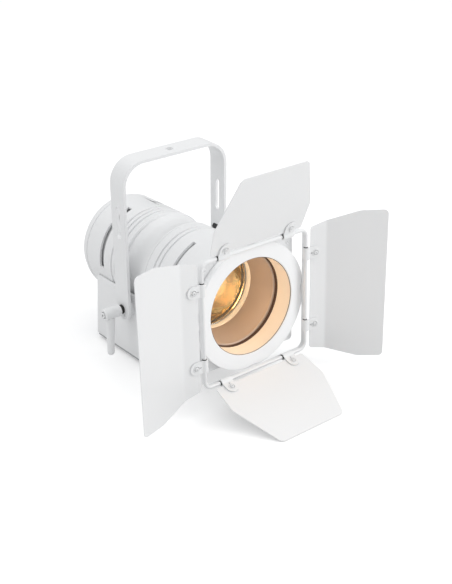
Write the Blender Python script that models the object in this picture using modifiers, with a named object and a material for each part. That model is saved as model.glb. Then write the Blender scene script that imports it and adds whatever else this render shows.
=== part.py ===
"""Theatre spotlight with a four-leaf barn door: lamp body, yoke, focus carriage and leaves.

Lengths are millimetres in the lamp's own frame, turned into metres when an object is made. The lamp frame
has its origin at the centre of the hood ring's front face: x to the right seen from the front, y backwards
along the optical axis, z up. The finished lamp stands on z = 0 with its front towards -Y.
"""

import math

import bmesh
import bpy
from mathutils import Matrix, Vector

MM = 0.001
MERGE = 0.00001
GAP = 0.3

# Where the lamp frame sits in the scene.
SHIFT_X = 7.1
SHIFT_Y = -93.0
AXIS_HEIGHT = 112.3

# Turning segments.
LARGE_ROUND = 40
SMALL_ROUND = 16
PIN_ROUND = 12

# Barrel.
FRONT_RADIUS = 64.0
FRONT_BORE = 60.5
REAR_RADIUS = 65.0
REAR_BORE = 61.9
WAIST_RADIUS = 60.6
WAIST_BORE = 57.9
SEAM_Y = 127.0
BARREL_END = 262.0
FRONT_GROOVES = ((113.0, 1.3, 1.5), (105.0, 1.3, 1.5))
REAR_GROOVES = ((199.0, 1.3, 1.5), (191.0, 1.3, 1.5), (183.0, 1.3, 1.5))

# Hood ring, plate and barn-door frame.
RING_RADIUS = 79.0
APERTURE = 60.0
RING_DEPTH = 8.0
PLATE_HALF = 68.0
PLATE_DEPTH = 2.4
WIRE_RADIUS = 2.2
RAIL_X = 76.0
RAIL_Z = 78.0
RAIL_LIFT = 0.6
RAIL_Y = -6.9
RAIL_CORNER = 9.0
BAND_SHEET = 1.2
BAND_BACK = -0.8
TAB_WIDTH = 10.0
TAB_BACK = 7.0

# Leaves and their clips.
LEAF_SHEET = 1.0
LEAF_START = 6.0
TOP_ANGLE = 69.5
BOTTOM_ANGLE = 18.95
SIDE_STRIP = 27.0
SIDE_PANEL = 71.5
CLIP_SPACING = 47.0
CLIP_WIDTH = 15.0
CLIP_SHEET = 1.5
CLIP_REACH = 12.0
CURL_BORE = 2.6

# Focus carriage: its stem stands at FOCUS_Y and runs FOCUS_TRAVEL to the rear.
FOCUS_Y = 42.0
FOCUS_TRAVEL = 30.0
ROD_X = 51.0
ROD_RADIUS = 2.5
LOCK_ANGLE = 124.0
LOCK_Y = 116.0

# Base box.
BOX_FRONT = 84.0
BOX_TOP = -20.0
BOX_BOTTOM = -106.0
BOX_REAR_TOP = 234.0
BOX_REAR_BOTTOM = 242.0
BOX_HALF_TOP = 66.0
BOX_HALF_BOTTOM = 68.0
WALL = 2.5
FLOOR = -AXIS_HEIGHT
RAKE = math.atan2(BOX_REAR_BOTTOM - BOX_REAR_TOP, BOX_TOP - BOX_BOTTOM)

# Yoke.
PIVOT_Y = 160.2
PIVOT_Z = -38.0
YOKE_LEAN = 2.27
YOKE_OUTER = 76.4
YOKE_SHEET = 4.0
YOKE_WIDTH = 28.0
YOKE_REACH = 191.85
YOKE_BEND = 30.0
SLOT_LOW = 98.5
SLOT_HIGH = 132.5
SLOT_WIDTH = 7.0

# Finishes: colour, roughness, metallic.
WHITE = ((0.86, 0.86, 0.85), 0.42, 0.0)
BLACK_METAL = ((0.02, 0.02, 0.02), 0.4, 0.6)
BLACK_PLASTIC = ((0.03, 0.03, 0.03), 0.5, 0.0)
RUBBER = ((0.04, 0.04, 0.04), 0.8, 0.0)
ALUMINIUM = ((0.75, 0.75, 0.76), 0.35, 1.0)
STEEL = ((0.6, 0.6, 0.61), 0.3, 1.0)
TAN = ((0.62, 0.5, 0.4), 0.3, 0.9)
CREAM = ((0.9, 0.82, 0.7), 0.35, 0.3)
GOLD = ((0.95, 0.7, 0.35), 0.12, 1.0)
GLASS = ((0.98, 0.98, 0.96), 0.03, 0.0)
LED = ((0.95, 0.85, 0.3), 0.4, 0.0)
BOARD = ((0.05, 0.25, 0.12), 0.55, 0.0)
BLUE = ((0.05, 0.15, 0.55), 0.5, 0.0)
GREY = ((0.45, 0.45, 0.47), 0.5, 0.0)
PANEL = ((0.1, 0.1, 0.11), 0.5, 0.0)
SMOKE = ((0.05, 0.08, 0.1), 0.1, 0.0)

X_AXIS = Vector((1, 0, 0))
Y_AXIS = Vector((0, 1, 0))
Z_AXIS = Vector((0, 0, 1))


def new_collection(name):
    """Make a collection under the scene's own."""
    collection = bpy.data.collections.new(name)
    bpy.context.scene.collection.children.link(collection)
    return collection


for old in list(bpy.data.objects):
    bpy.data.objects.remove(old, do_unlink=True)
PARTS = new_collection("theatre_spotlight")
TOOLS = new_collection("tools")


def to_scene(point):
    """Lamp-frame millimetres to scene metres."""
    return (Vector(point) + Vector((SHIFT_X, SHIFT_Y, AXIS_HEIGHT))) * MM


def material_of(name, finish):
    """One Principled material for one part."""
    colour, roughness, metallic = finish
    material = bpy.data.materials.new(name)
    material.use_nodes = True
    shader = material.node_tree.nodes["Principled BSDF"]
    shader.inputs["Base Color"].default_value = (*colour, 1)
    shader.inputs["Roughness"].default_value = roughness
    shader.inputs["Metallic"].default_value = metallic
    if finish is GLASS:
        shader.inputs["Transmission Weight"].default_value = 1.0
    return material


def axes(x_axis, y_axis):
    """Rotation whose first two columns are the given axes."""
    x_axis, y_axis = Vector(x_axis), Vector(y_axis)
    return Matrix((x_axis, y_axis, x_axis.cross(y_axis))).transposed()


def towards(direction):
    """Rotation that turns local Z to a direction."""
    return Vector(direction).to_track_quat("Z", "Y").to_matrix()


def add(name, mesh, finish, origin, rotation=None):
    """Put a mesh in the scene, as a part if it has a finish and as a hidden tool if it has none."""
    obj = bpy.data.objects.new(name, mesh)
    turned = (rotation or Matrix.Identity(3)).to_4x4()
    obj.matrix_world = Matrix.Translation(to_scene(origin)) @ turned
    if finish is None:
        TOOLS.objects.link(obj)
        obj.hide_render = True
        obj.display_type = "WIRE"
    else:
        PARTS.objects.link(obj)
        mesh.materials.append(material_of(name, finish))
    return obj


def mesh_from(name, build):
    """A mesh filled by a function that works on a bmesh."""
    mesh = bpy.data.meshes.new(name)
    work = bmesh.new()
    build(work)
    work.to_mesh(mesh)
    work.free()
    return mesh


def add_cube(work, size, centre=(0, 0, 0)):
    """One box in a bmesh."""
    made = bmesh.ops.create_cube(work, size=1)["verts"]
    bmesh.ops.scale(work, vec=Vector(size) * MM, verts=made)
    bmesh.ops.translate(work, vec=Vector(centre) * MM, verts=made)


def blocks(name, finish, boxes, origin=(0, 0, 0), rotation=None, bevel=0.0):
    """One mesh of boxes, each a (size, centre) pair in the object's own frame."""

    def build(work):
        for size, centre in boxes:
            add_cube(work, size, centre)

    obj = add(name, mesh_from(name, build), finish, origin, rotation)
    if bevel:
        soften(obj, bevel)
    return obj


def soften(obj, width, segments=2):
    """Round the sharp edges."""
    modifier = obj.modifiers.new("Soften", "BEVEL")
    modifier.width = width * MM
    modifier.segments = segments
    modifier.limit_method = "ANGLE"
    modifier.angle_limit = math.radians(50)


def tapered_block(name, finish, low, high, bevel=0.0):
    """A box whose bottom and top are (half width, front y, rear y, z) rectangles."""

    def build(work):
        for vertex in bmesh.ops.create_cube(work, size=2)["verts"]:
            half, front, rear, height = high if vertex.co.z > 0 else low
            depth = rear if vertex.co.y > 0 else front
            vertex.co = Vector((vertex.co.x * half, depth, height)) * MM

    obj = add(name, mesh_from(name, build), finish, (0, 0, 0))
    if bevel:
        soften(obj, bevel)
    return obj


def rod(name, finish, start, end, radius, end_radius=None, segments=PIN_ROUND):
    """A cylinder or cone between two points, smooth round its side."""
    start, end = Vector(start), Vector(end)

    def build(work):
        bmesh.ops.create_cone(
            work,
            cap_ends=True,
            segments=segments,
            radius1=radius * MM,
            radius2=(end_radius or radius) * MM,
            depth=(end - start).length * MM,
        )
        for face in work.faces:
            face.smooth = len(face.verts) == 4

    return add(name, mesh_from(name, build), finish, (start + end) / 2, towards(end - start))


def lathe(name, finish, profile, origin=(0, 0, 0), axis=Y_AXIS, segments=LARGE_ROUND):
    """Turn (radius, height) points about an axis. A profile that stays off the axis closes on itself.

    The points run from the highest on the outer side down to the lowest.
    """
    points = [(radius * MM, 0, height * MM) for radius, height in profile]
    edges = [(index, index + 1) for index in range(len(points) - 1)]
    if profile[0][0] > 0:
        edges.append((len(points) - 1, 0))
    mesh = bpy.data.meshes.new(name)
    mesh.from_pydata(points, edges, [])
    obj = add(name, mesh, finish, origin, towards(axis))
    screw = obj.modifiers.new("Turn", "SCREW")
    screw.steps = segments
    screw.render_steps = segments
    screw.use_merge_vertices = True
    screw.merge_threshold = MERGE
    screw.use_smooth_shade = True
    return obj


def mesh_of_curve(name, curve):
    """The closed mesh of a curve, with the seams welded."""
    holder = bpy.data.objects.new(name, curve)
    PARTS.objects.link(holder)
    bpy.context.view_layer.update()
    graph = bpy.context.evaluated_depsgraph_get()
    mesh = bpy.data.meshes.new_from_object(holder.evaluated_get(graph))
    bpy.data.objects.remove(holder)
    work = bmesh.new()
    work.from_mesh(mesh)
    bmesh.ops.remove_doubles(work, verts=work.verts, dist=MERGE)
    bmesh.ops.recalc_face_normals(work, faces=work.faces)
    work.to_mesh(mesh)
    work.free()
    return mesh


def add_spline(curve, points, cyclic=True):
    """One straight-sided spline in a curve."""
    spline = curve.splines.new("POLY")
    spline.points.add(len(points) - 1)
    for target, point in zip(spline.points, points):
        target.co = (*(Vector(point).to_3d() * MM), 1)
    spline.use_cyclic_u = cyclic


def prism(name, finish, outlines, depth, origin=(0, 0, 0), rotation=None):
    """A flat outline, with any holes after it, made solid along local Z about its own plane."""
    curve = bpy.data.curves.new(name, "CURVE")
    curve.dimensions = "2D"
    curve.fill_mode = "BOTH"
    curve.extrude = depth / 2 * MM
    for outline in outlines:
        add_spline(curve, outline)
    return add(name, mesh_of_curve(name, curve), finish, origin, rotation)


def tube(name, finish, points, radius, origin=(0, 0, 0), rotation=None, cyclic=False):
    """A round wire along a path."""
    curve = bpy.data.curves.new(name, "CURVE")
    curve.dimensions = "3D"
    curve.bevel_depth = radius * MM
    curve.bevel_resolution = 2
    curve.use_fill_caps = True
    add_spline(curve, points, cyclic)
    return add(name, mesh_of_curve(name, curve), finish, origin, rotation)


def combine(obj, tool, operation="DIFFERENCE"):
    """Cut a tool from an object, join it or keep only what they share."""
    modifier = obj.modifiers.new(f"{operation.title()} {tool.name}", "BOOLEAN")
    modifier.operation = operation
    modifier.solver = "EXACT"
    modifier.object = tool
    return obj


def arc(centre, radius, start, end, steps):
    """Points along an arc, in degrees, both ends included."""
    turns = [math.radians(start + (end - start) * step / steps) for step in range(steps + 1)]
    return [
        (centre[0] + radius * math.cos(turn), centre[1] + radius * math.sin(turn))
        for turn in turns
    ]


def rounded(corners, steps=4):
    """An outline with its (x, y, radius) corners rounded."""
    outline = []
    for index, (x, y, radius) in enumerate(corners):
        here = Vector((x, y))
        before = (Vector(corners[index - 1][:2]) - here).normalized()
        after = (Vector(corners[(index + 1) % len(corners)][:2]) - here).normalized()
        if not radius:
            outline.append((x, y))
            continue
        half = before.angle(after) / 2
        reach = radius / math.tan(half)
        centre = here + (before + after).normalized() * (radius / math.sin(half))
        first, last = here + before * reach - centre, here + after * reach - centre
        for step in range(steps + 1):
            ray = first.lerp(last, step / steps).normalized()
            outline.append(tuple(centre + ray * radius))
    return outline


def rounded_rectangle(half_x, half_y, radius, lift=0.0, steps=4):
    """A rounded rectangle about the axis, lifted along its second direction."""
    signs = ((-1, -1), (1, -1), (1, 1), (-1, 1))
    return rounded([(x * half_x, y * half_y + lift, radius) for x, y in signs], steps)


def sector(inner, outer, start, end, steps=6):
    """Outline of a piece of a ring."""
    return arc((0, 0), outer, start, end, steps) + arc((0, 0), inner, end, start, steps)


def grooved(radius, grooves):
    """Profile points along an outer wall, rear to front, with one dip for each (y, half width, depth)."""
    points = []
    for centre, half, depth in grooves:
        points += [
            (radius, centre + half),
            (radius - depth, centre + half - 0.4),
            (radius - depth, centre - half + 0.4),
            (radius, centre - half),
        ]
    return points


CROSS_SECTION = axes(X_AXIS, Z_AXIS)
SIDE_SECTION = axes(Y_AXIS, Z_AXIS)


def cut_side_vents(shell, name, centre_y, width, start, end):
    """Cut one curved slot through each side of a shell. Angles rise from the left horizon."""
    for side, first, last in (("left", 180 - start, 180 - end), ("right", start, end)):
        outline = sector(55, 70, min(first, last), max(first, last))
        tool = prism(f"{name}_{side}", None, [outline], width, (0, centre_y, 0), CROSS_SECTION)
        combine(shell, tool)


def build_front():
    """Front shell with ribs, side vents, focus slot and lock-screw hole."""
    shell = lathe(
        "barrel_front",
        WHITE,
        [
            (FRONT_RADIUS - 0.8, SEAM_Y),
            (FRONT_RADIUS, SEAM_Y - 0.8),
            *grooved(FRONT_RADIUS, FRONT_GROOVES),
            (FRONT_RADIUS, RING_DEPTH + PLATE_DEPTH + 2 * GAP),
            (FRONT_BORE, RING_DEPTH + PLATE_DEPTH + 2 * GAP),
            (FRONT_BORE, SEAM_Y),
        ],
    )
    cut_side_vents(shell, "front_vent", 80, 6, 38, 72)
    slot = blocks(
        "focus_slot",
        None,
        [((5.6, FOCUS_TRAVEL + 6.6, 14), (0, 0, 0))],
        (0, FOCUS_Y + FOCUS_TRAVEL / 2, -62),
    )
    combine(shell, slot)
    ray = lock_direction()
    at = Vector((0, LOCK_Y, 0))
    combine(shell, rod("lock_hole", None, at + ray * 55, at + ray * 70, 2.3))


def lock_direction():
    """Outward direction of the lock screw at the upper right of the barrel."""
    turn = math.radians(LOCK_ANGLE)
    return Vector((-math.cos(turn), 0, math.sin(turn)))


def build_rear():
    """Rear shell with a spigot, a waist, four grooves and side vents, and the cover behind it."""
    shell = lathe(
        "barrel_rear",
        WHITE,
        [
            (REAR_RADIUS - 0.8, BARREL_END),
            (REAR_RADIUS, BARREL_END - 0.8),
            *grooved(REAR_RADIUS, REAR_GROOVES),
            (REAR_RADIUS, 172.6),
            (61.6, 171.8),
            (61.6, 168.4),
            (63.4, 167.6),
            (62.0, 163),
            (WAIST_RADIUS, 156),
            (WAIST_RADIUS, 142),
            (61.6, 136),
            (FRONT_RADIUS, 130.4),
            (FRONT_RADIUS, SEAM_Y + 1.1),
            (FRONT_RADIUS - 0.8, SEAM_Y + GAP),
            (FRONT_BORE - GAP, SEAM_Y + GAP),
            (FRONT_BORE - GAP, SEAM_Y - 8),
            (WAIST_BORE, SEAM_Y - 8),
            (WAIST_BORE, 174),
            (REAR_BORE, 179),
            (REAR_BORE, BARREL_END),
        ],
    )
    cut_side_vents(shell, "rear_vent", 221, 9, -5, 75)
    start = BARREL_END + GAP
    cover = lathe(
        "rear_cover",
        WHITE,
        [
            (0, start + 14.5),
            (44, start + 14.5),
            (58, start + 11),
            (62, start + 7.5),
            (62, start),
            (59, start),
            (59, start + 6),
            (43, start + 12),
            (0, start + 12),
        ],
    )
    slots = []
    for row in range(-3, 4):
        height = row * 8.5
        width = 2 * math.sqrt(38**2 - height**2)
        slots.append(((width, 12, 4), (0, start + 13, height - 4)))
    combine(cover, blocks("grille_slots", None, slots))


def build_hood():
    """Ring, plate with latch ears, and the latch over the ring."""
    ring = lathe(
        "hood_ring",
        WHITE,
        [
            (RING_RADIUS, RING_DEPTH),
            (RING_RADIUS, 1.4),
            (RING_RADIUS - 1.4, 0),
            (APERTURE + 0.9, 0),
            (APERTURE, 0.9),
            (APERTURE, RING_DEPTH),
        ],
    )
    inner = 1.2
    top, bottom = RAIL_Z + RAIL_LIFT, RAIL_Z - RAIL_LIFT
    notches = [((TAB_WIDTH + 1, 12, 6), (0, 4, top + 3 - inner))]
    notches.append(((TAB_WIDTH + 1, 12, 6), (0, 4, -bottom - 3 + inner)))
    for side in (-1, 1):
        notches.append(((6, 12, TAB_WIDTH + 1), (side * (RAIL_X + 3 - inner), 4, RAIL_LIFT)))
    combine(ring, blocks("ring_notches", None, notches))

    centre = RING_DEPTH + GAP + PLATE_DEPTH / 2
    plate = prism(
        "front_plate",
        WHITE,
        [rounded_rectangle(PLATE_HALF, PLATE_HALF, 5), arc((0, 0), 61, 0, 352.5, 47)],
        PLATE_DEPTH,
        (0, centre, 0),
        CROSS_SECTION,
    )
    ears = blocks("latch_ears", None, [((3, 8, 9), (x, 13.3, 69.7)) for x in (-7.8, 7.8)])
    combine(plate, ears, "UNION")
    pin = Vector((0, 14, 71))
    combine(plate, rod("latch_hole", None, pin - X_AXIS * 12, pin + X_AXIS * 12, 1.6))

    latch = prism(
        "accessory_latch",
        BLACK_METAL,
        [[(-14.5, 8.6), (-2.5, 8.6), (-2.5, -2.5), (2.5, -2.5), (2.5, 10.4), (-14.5, 10.4)]],
        11,
        pin,
        SIDE_SECTION,
    )
    combine(latch, rod("latch_pin", None, pin - X_AXIS * 9.2, pin + X_AXIS * 9.2, 1.3), "UNION")


def build_optics():
    """Baffle, inner tube, retainer, lens and mount, all fixed in the front shell."""
    outer = FRONT_BORE - GAP
    lathe("baffle_ring", BLACK_METAL, [(outer, 27.7), (outer, 24.7), (57.4, 24.7), (57.4, 27.7)])
    lathe(
        "inner_tube",
        TAN,
        [(51.3, 63.8), (57.5, 31.2), (outer, 31), (outer, 28), (57.2, 28), (50, 63.8)],
    )
    lathe(
        "lens_retainer",
        CREAM,
        [(56, 71.5), (56, 65.5), (51.5, 64.1), (49.8, 64.8), (49.8, 71.5)],
    )
    curve_radius = 109.6
    vertex = 72.6 - 12.8
    front = [
        (radius, vertex + curve_radius - math.sqrt(curve_radius**2 - radius**2))
        for radius in (51.4, 40, 25)
    ]
    lathe("lens", GLASS, [(0, 76.2), (51.4, 76.2), *front, (0, vertex)])
    mount = lathe(
        "lens_mount",
        BLACK_METAL,
        [(outer, 80.4), (outer, 71.8), (51.8, 71.8), (51.8, 76.5), (48.6, 76.5), (48.6, 80.4)],
    )
    combine(mount, blocks("mount_notch", None, [((11.4, 20, 5), (0, 76, -59.2))]))


def build_focus():
    """Everything that slides: reflector, light module, carriage, heat sink and knob."""
    bowl = [13.0, 24.0, 35.0, 46.0]
    inner = [(radius, 124.5 - radius**2 / 62) for radius in bowl]
    outer = [(radius + 0.9, height + 1.1) for radius, height in inner]
    outer[0] = (13.9, inner[0][1])
    lathe("reflector", GOLD, [*outer, *reversed(inner)])
    lathe(
        "led_module",
        LED,
        [(0, 124.4), (18, 124.4), (18, 122.4), (8, 122.4), (7, 118.5), (4, 115.8), (0, 114.8)],
        segments=SMALL_ROUND,
    )
    plate = lathe(
        "focus_carriage", BLACK_METAL, [(0, 127.7), (56.5, 127.7), (56.5, 124.7), (0, 124.7)]
    )
    for side in (-1, 1):
        at = Vector((side * ROD_X, 126, 0))
        hole = rod(f"rod_hole_{side}", None, at - Y_AXIS * 5, at + Y_AXIS * 5, ROD_RADIUS + 0.4)
        combine(plate, hole)
    bars = prism(
        "carriage_bar",
        None,
        [
            [
                (36, -59.4),
                (88, -59.4),
                (88, -54.7),
                (126, -54.7),
                (126, -52.5),
                (85, -52.5),
                (85, -57.2),
                (36, -57.2),
            ]
        ],
        10,
        (0, 0, 0),
        SIDE_SECTION,
    )
    combine(plate, bars, "UNION")
    sink = lathe(
        "heat_sink", ALUMINIUM, [(0, 163), (44, 163), (44, 128), (0, 128)], segments=32
    )
    gaps = [((5.5, 34, 100), (x * 9.5, 149.5, 0)) for x in (-4, -3, -2, -1, 0, 1, 2, 3, 4)]
    combine(sink, blocks("fin_gaps", None, gaps))
    for side, name in ((-1, "left"), (1, "right")):
        rod(f"guide_rod_{name}", STEEL, (side * ROD_X, 80.7, 0), (side * ROD_X, 203.7, 0), ROD_RADIUS)
    lathe(
        "focus_knob",
        BLACK_PLASTIC,
        [(0, 3.8), (2.4, 3.8), (2.4, -2), (6, -2), (7.4, -3.4), (7.4, -13), (6, -14.4), (0, -14.4)],
        origin=(0, FOCUS_Y, -63.6),
        axis=Z_AXIS,
        segments=SMALL_ROUND,
    )
    lathe(
        "lock_screw",
        BLACK_PLASTIC,
        [(0, 6), (2.8, 6), (3.4, 5.4), (3.4, 0.5), (2, 0.5), (2, -6), (0, -6)],
        origin=Vector((0, LOCK_Y, 0)) + lock_direction() * FRONT_RADIUS,
        axis=lock_direction(),
        segments=16,
    )


def build_fan():
    """Frame with struts across the bore, and the rotor behind them."""
    outer = REAR_BORE - GAP
    frame = lathe("fan_frame", BLACK_PLASTIC, [(outer, 217), (outer, 204), (57, 204), (57, 217)])
    struts = blocks("fan_struts", None, [((116, 2, 6), (0, 205.2, 0))])
    combine(frame, struts, "UNION")
    upright = blocks("fan_upright", None, [((5, 2.2, 117), (0, 205.3, 0))])
    combine(frame, upright, "UNION")
    hub = rod("fan_hub", None, (0, 204.4, 0), (0, 207.4, 0), 15, segments=SMALL_ROUND)
    combine(frame, hub, "UNION")
    rotor = rod("fan_rotor", BLACK_PLASTIC, (0, 207.8, 0), (0, 216, 0), 14.5, segments=24)

    def build(work):
        for index in range(7):
            made = bmesh.ops.create_cube(work, size=1)["verts"]
            bmesh.ops.scale(work, vec=Vector((42, 1.4, 9)) * MM, verts=made)
            bmesh.ops.rotate(work, verts=made, matrix=Matrix.Rotation(math.radians(50), 3, "X"))
            bmesh.ops.translate(work, vec=Vector((32, 0, 0)) * MM, verts=made)
            turn = Matrix.Rotation(math.tau * index / 7, 3, "Z")
            bmesh.ops.rotate(work, verts=made, matrix=turn)

    blades = add("fan_blades", mesh_from("fan_blades", build), None, (0, 212, 0), towards(Y_AXIS))
    combine(rotor, blades, "UNION")


def rear_point(across, out, up):
    """A point given along the raked rear face of the box: across, outwards and up from its foot."""
    normal = Vector((0, math.cos(RAKE), math.sin(RAKE)))
    rise = Vector((0, -math.sin(RAKE), math.cos(RAKE)))
    return Vector((across, BOX_REAR_BOTTOM, BOX_BOTTOM)) + normal * out + rise * up


def build_box():
    """Cast housing that cradles the barrel, base plate and feet."""
    housing = tapered_block(
        "base_housing",
        WHITE,
        (BOX_HALF_BOTTOM, BOX_FRONT, BOX_REAR_BOTTOM, BOX_BOTTOM),
        (BOX_HALF_TOP, BOX_FRONT, BOX_REAR_TOP, BOX_TOP),
        bevel=2.0,
    )
    for side, name in ((-1, "left"), (1, "right")):
        start = Vector((side * 62, PIVOT_Y, PIVOT_Z))
        boss = rod(f"boss_{name}", None, start, start + X_AXIS * side * 9.9, 11, segments=24)
        combine(housing, boss, "UNION")
    saddle = rod(
        "saddle", None, (0, 60, 0), (0, 270, 0), REAR_RADIUS + 0.4, segments=LARGE_ROUND
    )
    combine(housing, saddle)
    room = tapered_block(
        "box_room",
        None,
        (BOX_HALF_BOTTOM - WALL, BOX_FRONT + WALL, BOX_REAR_BOTTOM - WALL + 1, BOX_BOTTOM - 5),
        (BOX_HALF_TOP - WALL, BOX_FRONT + WALL, BOX_REAR_TOP - WALL + 3, -46),
    )
    combine(housing, room)
    for side, name in ((-1, "left"), (1, "right")):
        start = Vector((side * 56.1, PIVOT_Y, PIVOT_Z))
        combine(housing, rod(f"stud_hole_{name}", None, start, start + X_AXIS * side * 20, 4.4))
    window = blocks(
        "rear_window",
        None,
        [((116, 12, 31), (0, 0, 0))],
        rear_point(0, 0, 20.5),
        Matrix.Rotation(RAKE, 3, "X"),
    )
    combine(housing, window)
    blocks(
        "base_plate",
        GREY,
        [((133, 153, 2.3), (0, 0, 0))],
        (0, 163.5, BOX_BOTTOM - GAP - 1.15),
    )
    foot_top = -(BOX_BOTTOM - GAP - 2.3 - GAP - FLOOR)
    for index, (x, y) in enumerate(((-50, 95), (50, 95), (-50, 229), (50, 229)), start=1):
        lathe(
            f"foot_{index}",
            RUBBER,
            [(0, 0), (8, 0), (8, foot_top + 1), (7.2, foot_top), (0, foot_top)],
            origin=(x, y, FLOOR - foot_top),
            axis=Z_AXIS,
            segments=16,
        )


def connector(name, finish, across, bore, depth):
    """A panel connector: flange outside the panel, body through it, socket in its face."""
    turned = Matrix.Rotation(RAKE, 3, "X")
    origin = rear_point(across, 0, 20)
    body = blocks(name, finish, [((21, 1.8, 26), (0, 3.5, 0))], origin, turned)
    barrel = rod(f"{name}_body", None, (0, 0, 0), (0, 1, 0), 9.4, segments=SMALL_ROUND)
    shape_along(barrel, rear_point(across, -14, 20), rear_point(across, 4.0, 20))
    combine(body, barrel, "UNION")
    socket = rod(f"{name}_socket", None, (0, 0, 0), (0, 1, 0), bore, segments=SMALL_ROUND)
    shape_along(socket, rear_point(across, 4.5 - depth, 20), rear_point(across, 8, 20))
    combine(body, socket)


def shape_along(obj, start, end):
    """Stretch a unit-long rod's mesh and lay it between two points."""
    for vertex in obj.data.vertices:
        vertex.co.z *= (end - start).length
    obj.matrix_world = Matrix.Translation(to_scene((start + end) / 2)) @ towards(end - start).to_4x4()


def build_controls():
    """Rear panel with its window, buttons and connectors."""
    turned = Matrix.Rotation(RAKE, 3, "X")
    panel = blocks(
        "control_panel", PANEL, [((122, 2, 35), (0, 1.3, 0))], rear_point(0, 0, 20.5), turned
    )
    holes = blocks(
        "display_hole", None, [((26.6, 8, 12.6), (0, 1, 0))], rear_point(0, 0, 27), turned
    )
    combine(panel, holes)
    blocks(
        "display_window", SMOKE, [((26, 1.2, 12), (0, 1.5, 0))], rear_point(0, 0, 27), turned
    )
    for index, across in enumerate((-10.5, -3.5, 3.5, 10.5), start=1):
        outside, inside = rear_point(across, 8, 12), rear_point(across, -8, 12)
        combine(panel, rod(f"button_hole_{index}", None, inside, outside, 2.8))
        normal = (outside - inside).normalized()
        lathe(
            f"button_{index}",
            GREY,
            [(0, 3.9), (2, 3.9), (2.4, 3.5), (2.4, -1.5), (0, -1.5)],
            origin=rear_point(across, 0, 12),
            axis=normal,
            segments=PIN_ROUND,
        )
    places = (
        ("power_inlet", BLUE, -48.5, 7.2, 12),
        ("power_outlet", GREY, -26, 7.2, 12),
        ("data_in", BLACK_METAL, 26, 7.6, 11),
        ("data_out", BLACK_METAL, 48.5, 7.6, 11),
    )
    for name, finish, across, bore, depth in places:
        hole = rod(f"{name}_hole", None, rear_point(across, -8, 20), rear_point(across, 8, 20), 9.8)
        combine(panel, hole)
        connector(name, finish, across, bore, depth)


def build_board():
    """Driver board with its larger parts, low in the box."""
    board = blocks("driver_board", BOARD, [((104, 100, 1.6), (0, 150, -102))])
    lumps = blocks(
        "driver_parts",
        None,
        [
            ((34, 30, 24), (-30, 125, -90.4)),
            ((22, 22, 18), (4, 122, -93.4)),
            ((30, 12, 20), (32, 118, -92.4)),
            ((60, 8, 22), (-12, 185, -91.4)),
        ],
    )
    combine(board, lumps, "UNION")
    for index, (x, y) in enumerate(((20, 150), (38, 150), (20, 172)), start=1):
        tool = rod(f"capacitor_{index}", None, (x, y, -102), (x, y, -80), 7)
        combine(board, tool, "UNION")


def build_eye():
    """Safety-cable loop on the rear cover."""
    back = BARREL_END + GAP + 14.5 + GAP
    base = blocks("safety_eye", STEEL, [((26, 2.4, 7), (0, back + 1.2, 36))])
    path = [(-8, back + 1), (-8, back + 5)]
    path += arc((0, back + 5), 8, 180, 0, 8)[1:]
    path += [(8, back + 1)]
    loop = tube("eye_loop", None, [(x, y, 36) for x, y in path], 2)
    combine(base, loop, "UNION")


def build_yoke():
    """Bent flat bar with a slot in each leg, on two studs with collars and clamp levers."""
    turned = Matrix.Rotation(math.radians(YOKE_LEAN), 3, "X")
    pivot = Vector((0, PIVOT_Y, PIVOT_Z))
    inner_bend = YOKE_BEND - YOKE_SHEET
    high = YOKE_REACH - YOKE_BEND
    wide = YOKE_OUTER - YOKE_BEND
    outline = [(YOKE_OUTER, -20), *arc((wide, high), YOKE_BEND, 0, 90, 6)]
    outline += [*arc((-wide, high), YOKE_BEND, 90, 180, 6), (-YOKE_OUTER, -20)]
    outline += [(YOKE_SHEET - YOKE_OUTER, -20), *arc((-wide, high), inner_bend, 180, 90, 6)]
    outline += [*arc((wide, high), inner_bend, 90, 0, 6), (YOKE_OUTER - YOKE_SHEET, -20)]
    bar = prism("yoke", WHITE, [outline], YOKE_WIDTH + 6, pivot, turned @ CROSS_SECTION)
    half = YOKE_WIDTH / 2
    side = [(half, 210), (-half, 210), *arc((0, 0), half, 180, 360, 12)]
    combine(bar, prism("yoke_sides", None, [side], 190, pivot, turned @ SIDE_SECTION), "INTERSECT")
    reach = SLOT_WIDTH / 2
    slot = arc((0, SLOT_HIGH), reach, 0, 180, 6) + arc((0, SLOT_LOW), reach, 180, 360, 6)
    combine(bar, prism("yoke_slots", None, [slot], 180, pivot, turned @ SIDE_SECTION))
    combine(bar, rod("yoke_pivots", None, pivot - X_AXIS * 90, pivot + X_AXIS * 90, 4.4))
    up = turned @ Z_AXIS
    hole = rod(
        "yoke_hole", None, pivot + up * 180, pivot + up * 200, 5.25, segments=SMALL_ROUND
    )
    combine(bar, hole)
    for side, name in ((-1, "left"), (1, "right")):
        outward = X_AXIS * side
        lathe(
            f"pivot_stud_{name}",
            STEEL,
            [(0, 97), (3.2, 97), (4, 96), (4, 56.6), (0, 56.6)],
            origin=pivot,
            axis=outward,
            segments=PIN_ROUND,
        )
        lathe(
            f"collar_{name}",
            BLACK_METAL,
            [(5.9, 80.2), (5.9, 76.7), (4.4, 76.7), (4.4, 80.2)],
            origin=pivot,
            axis=outward,
            segments=SMALL_ROUND,
        )
        build_lever(name, pivot, side)


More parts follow.
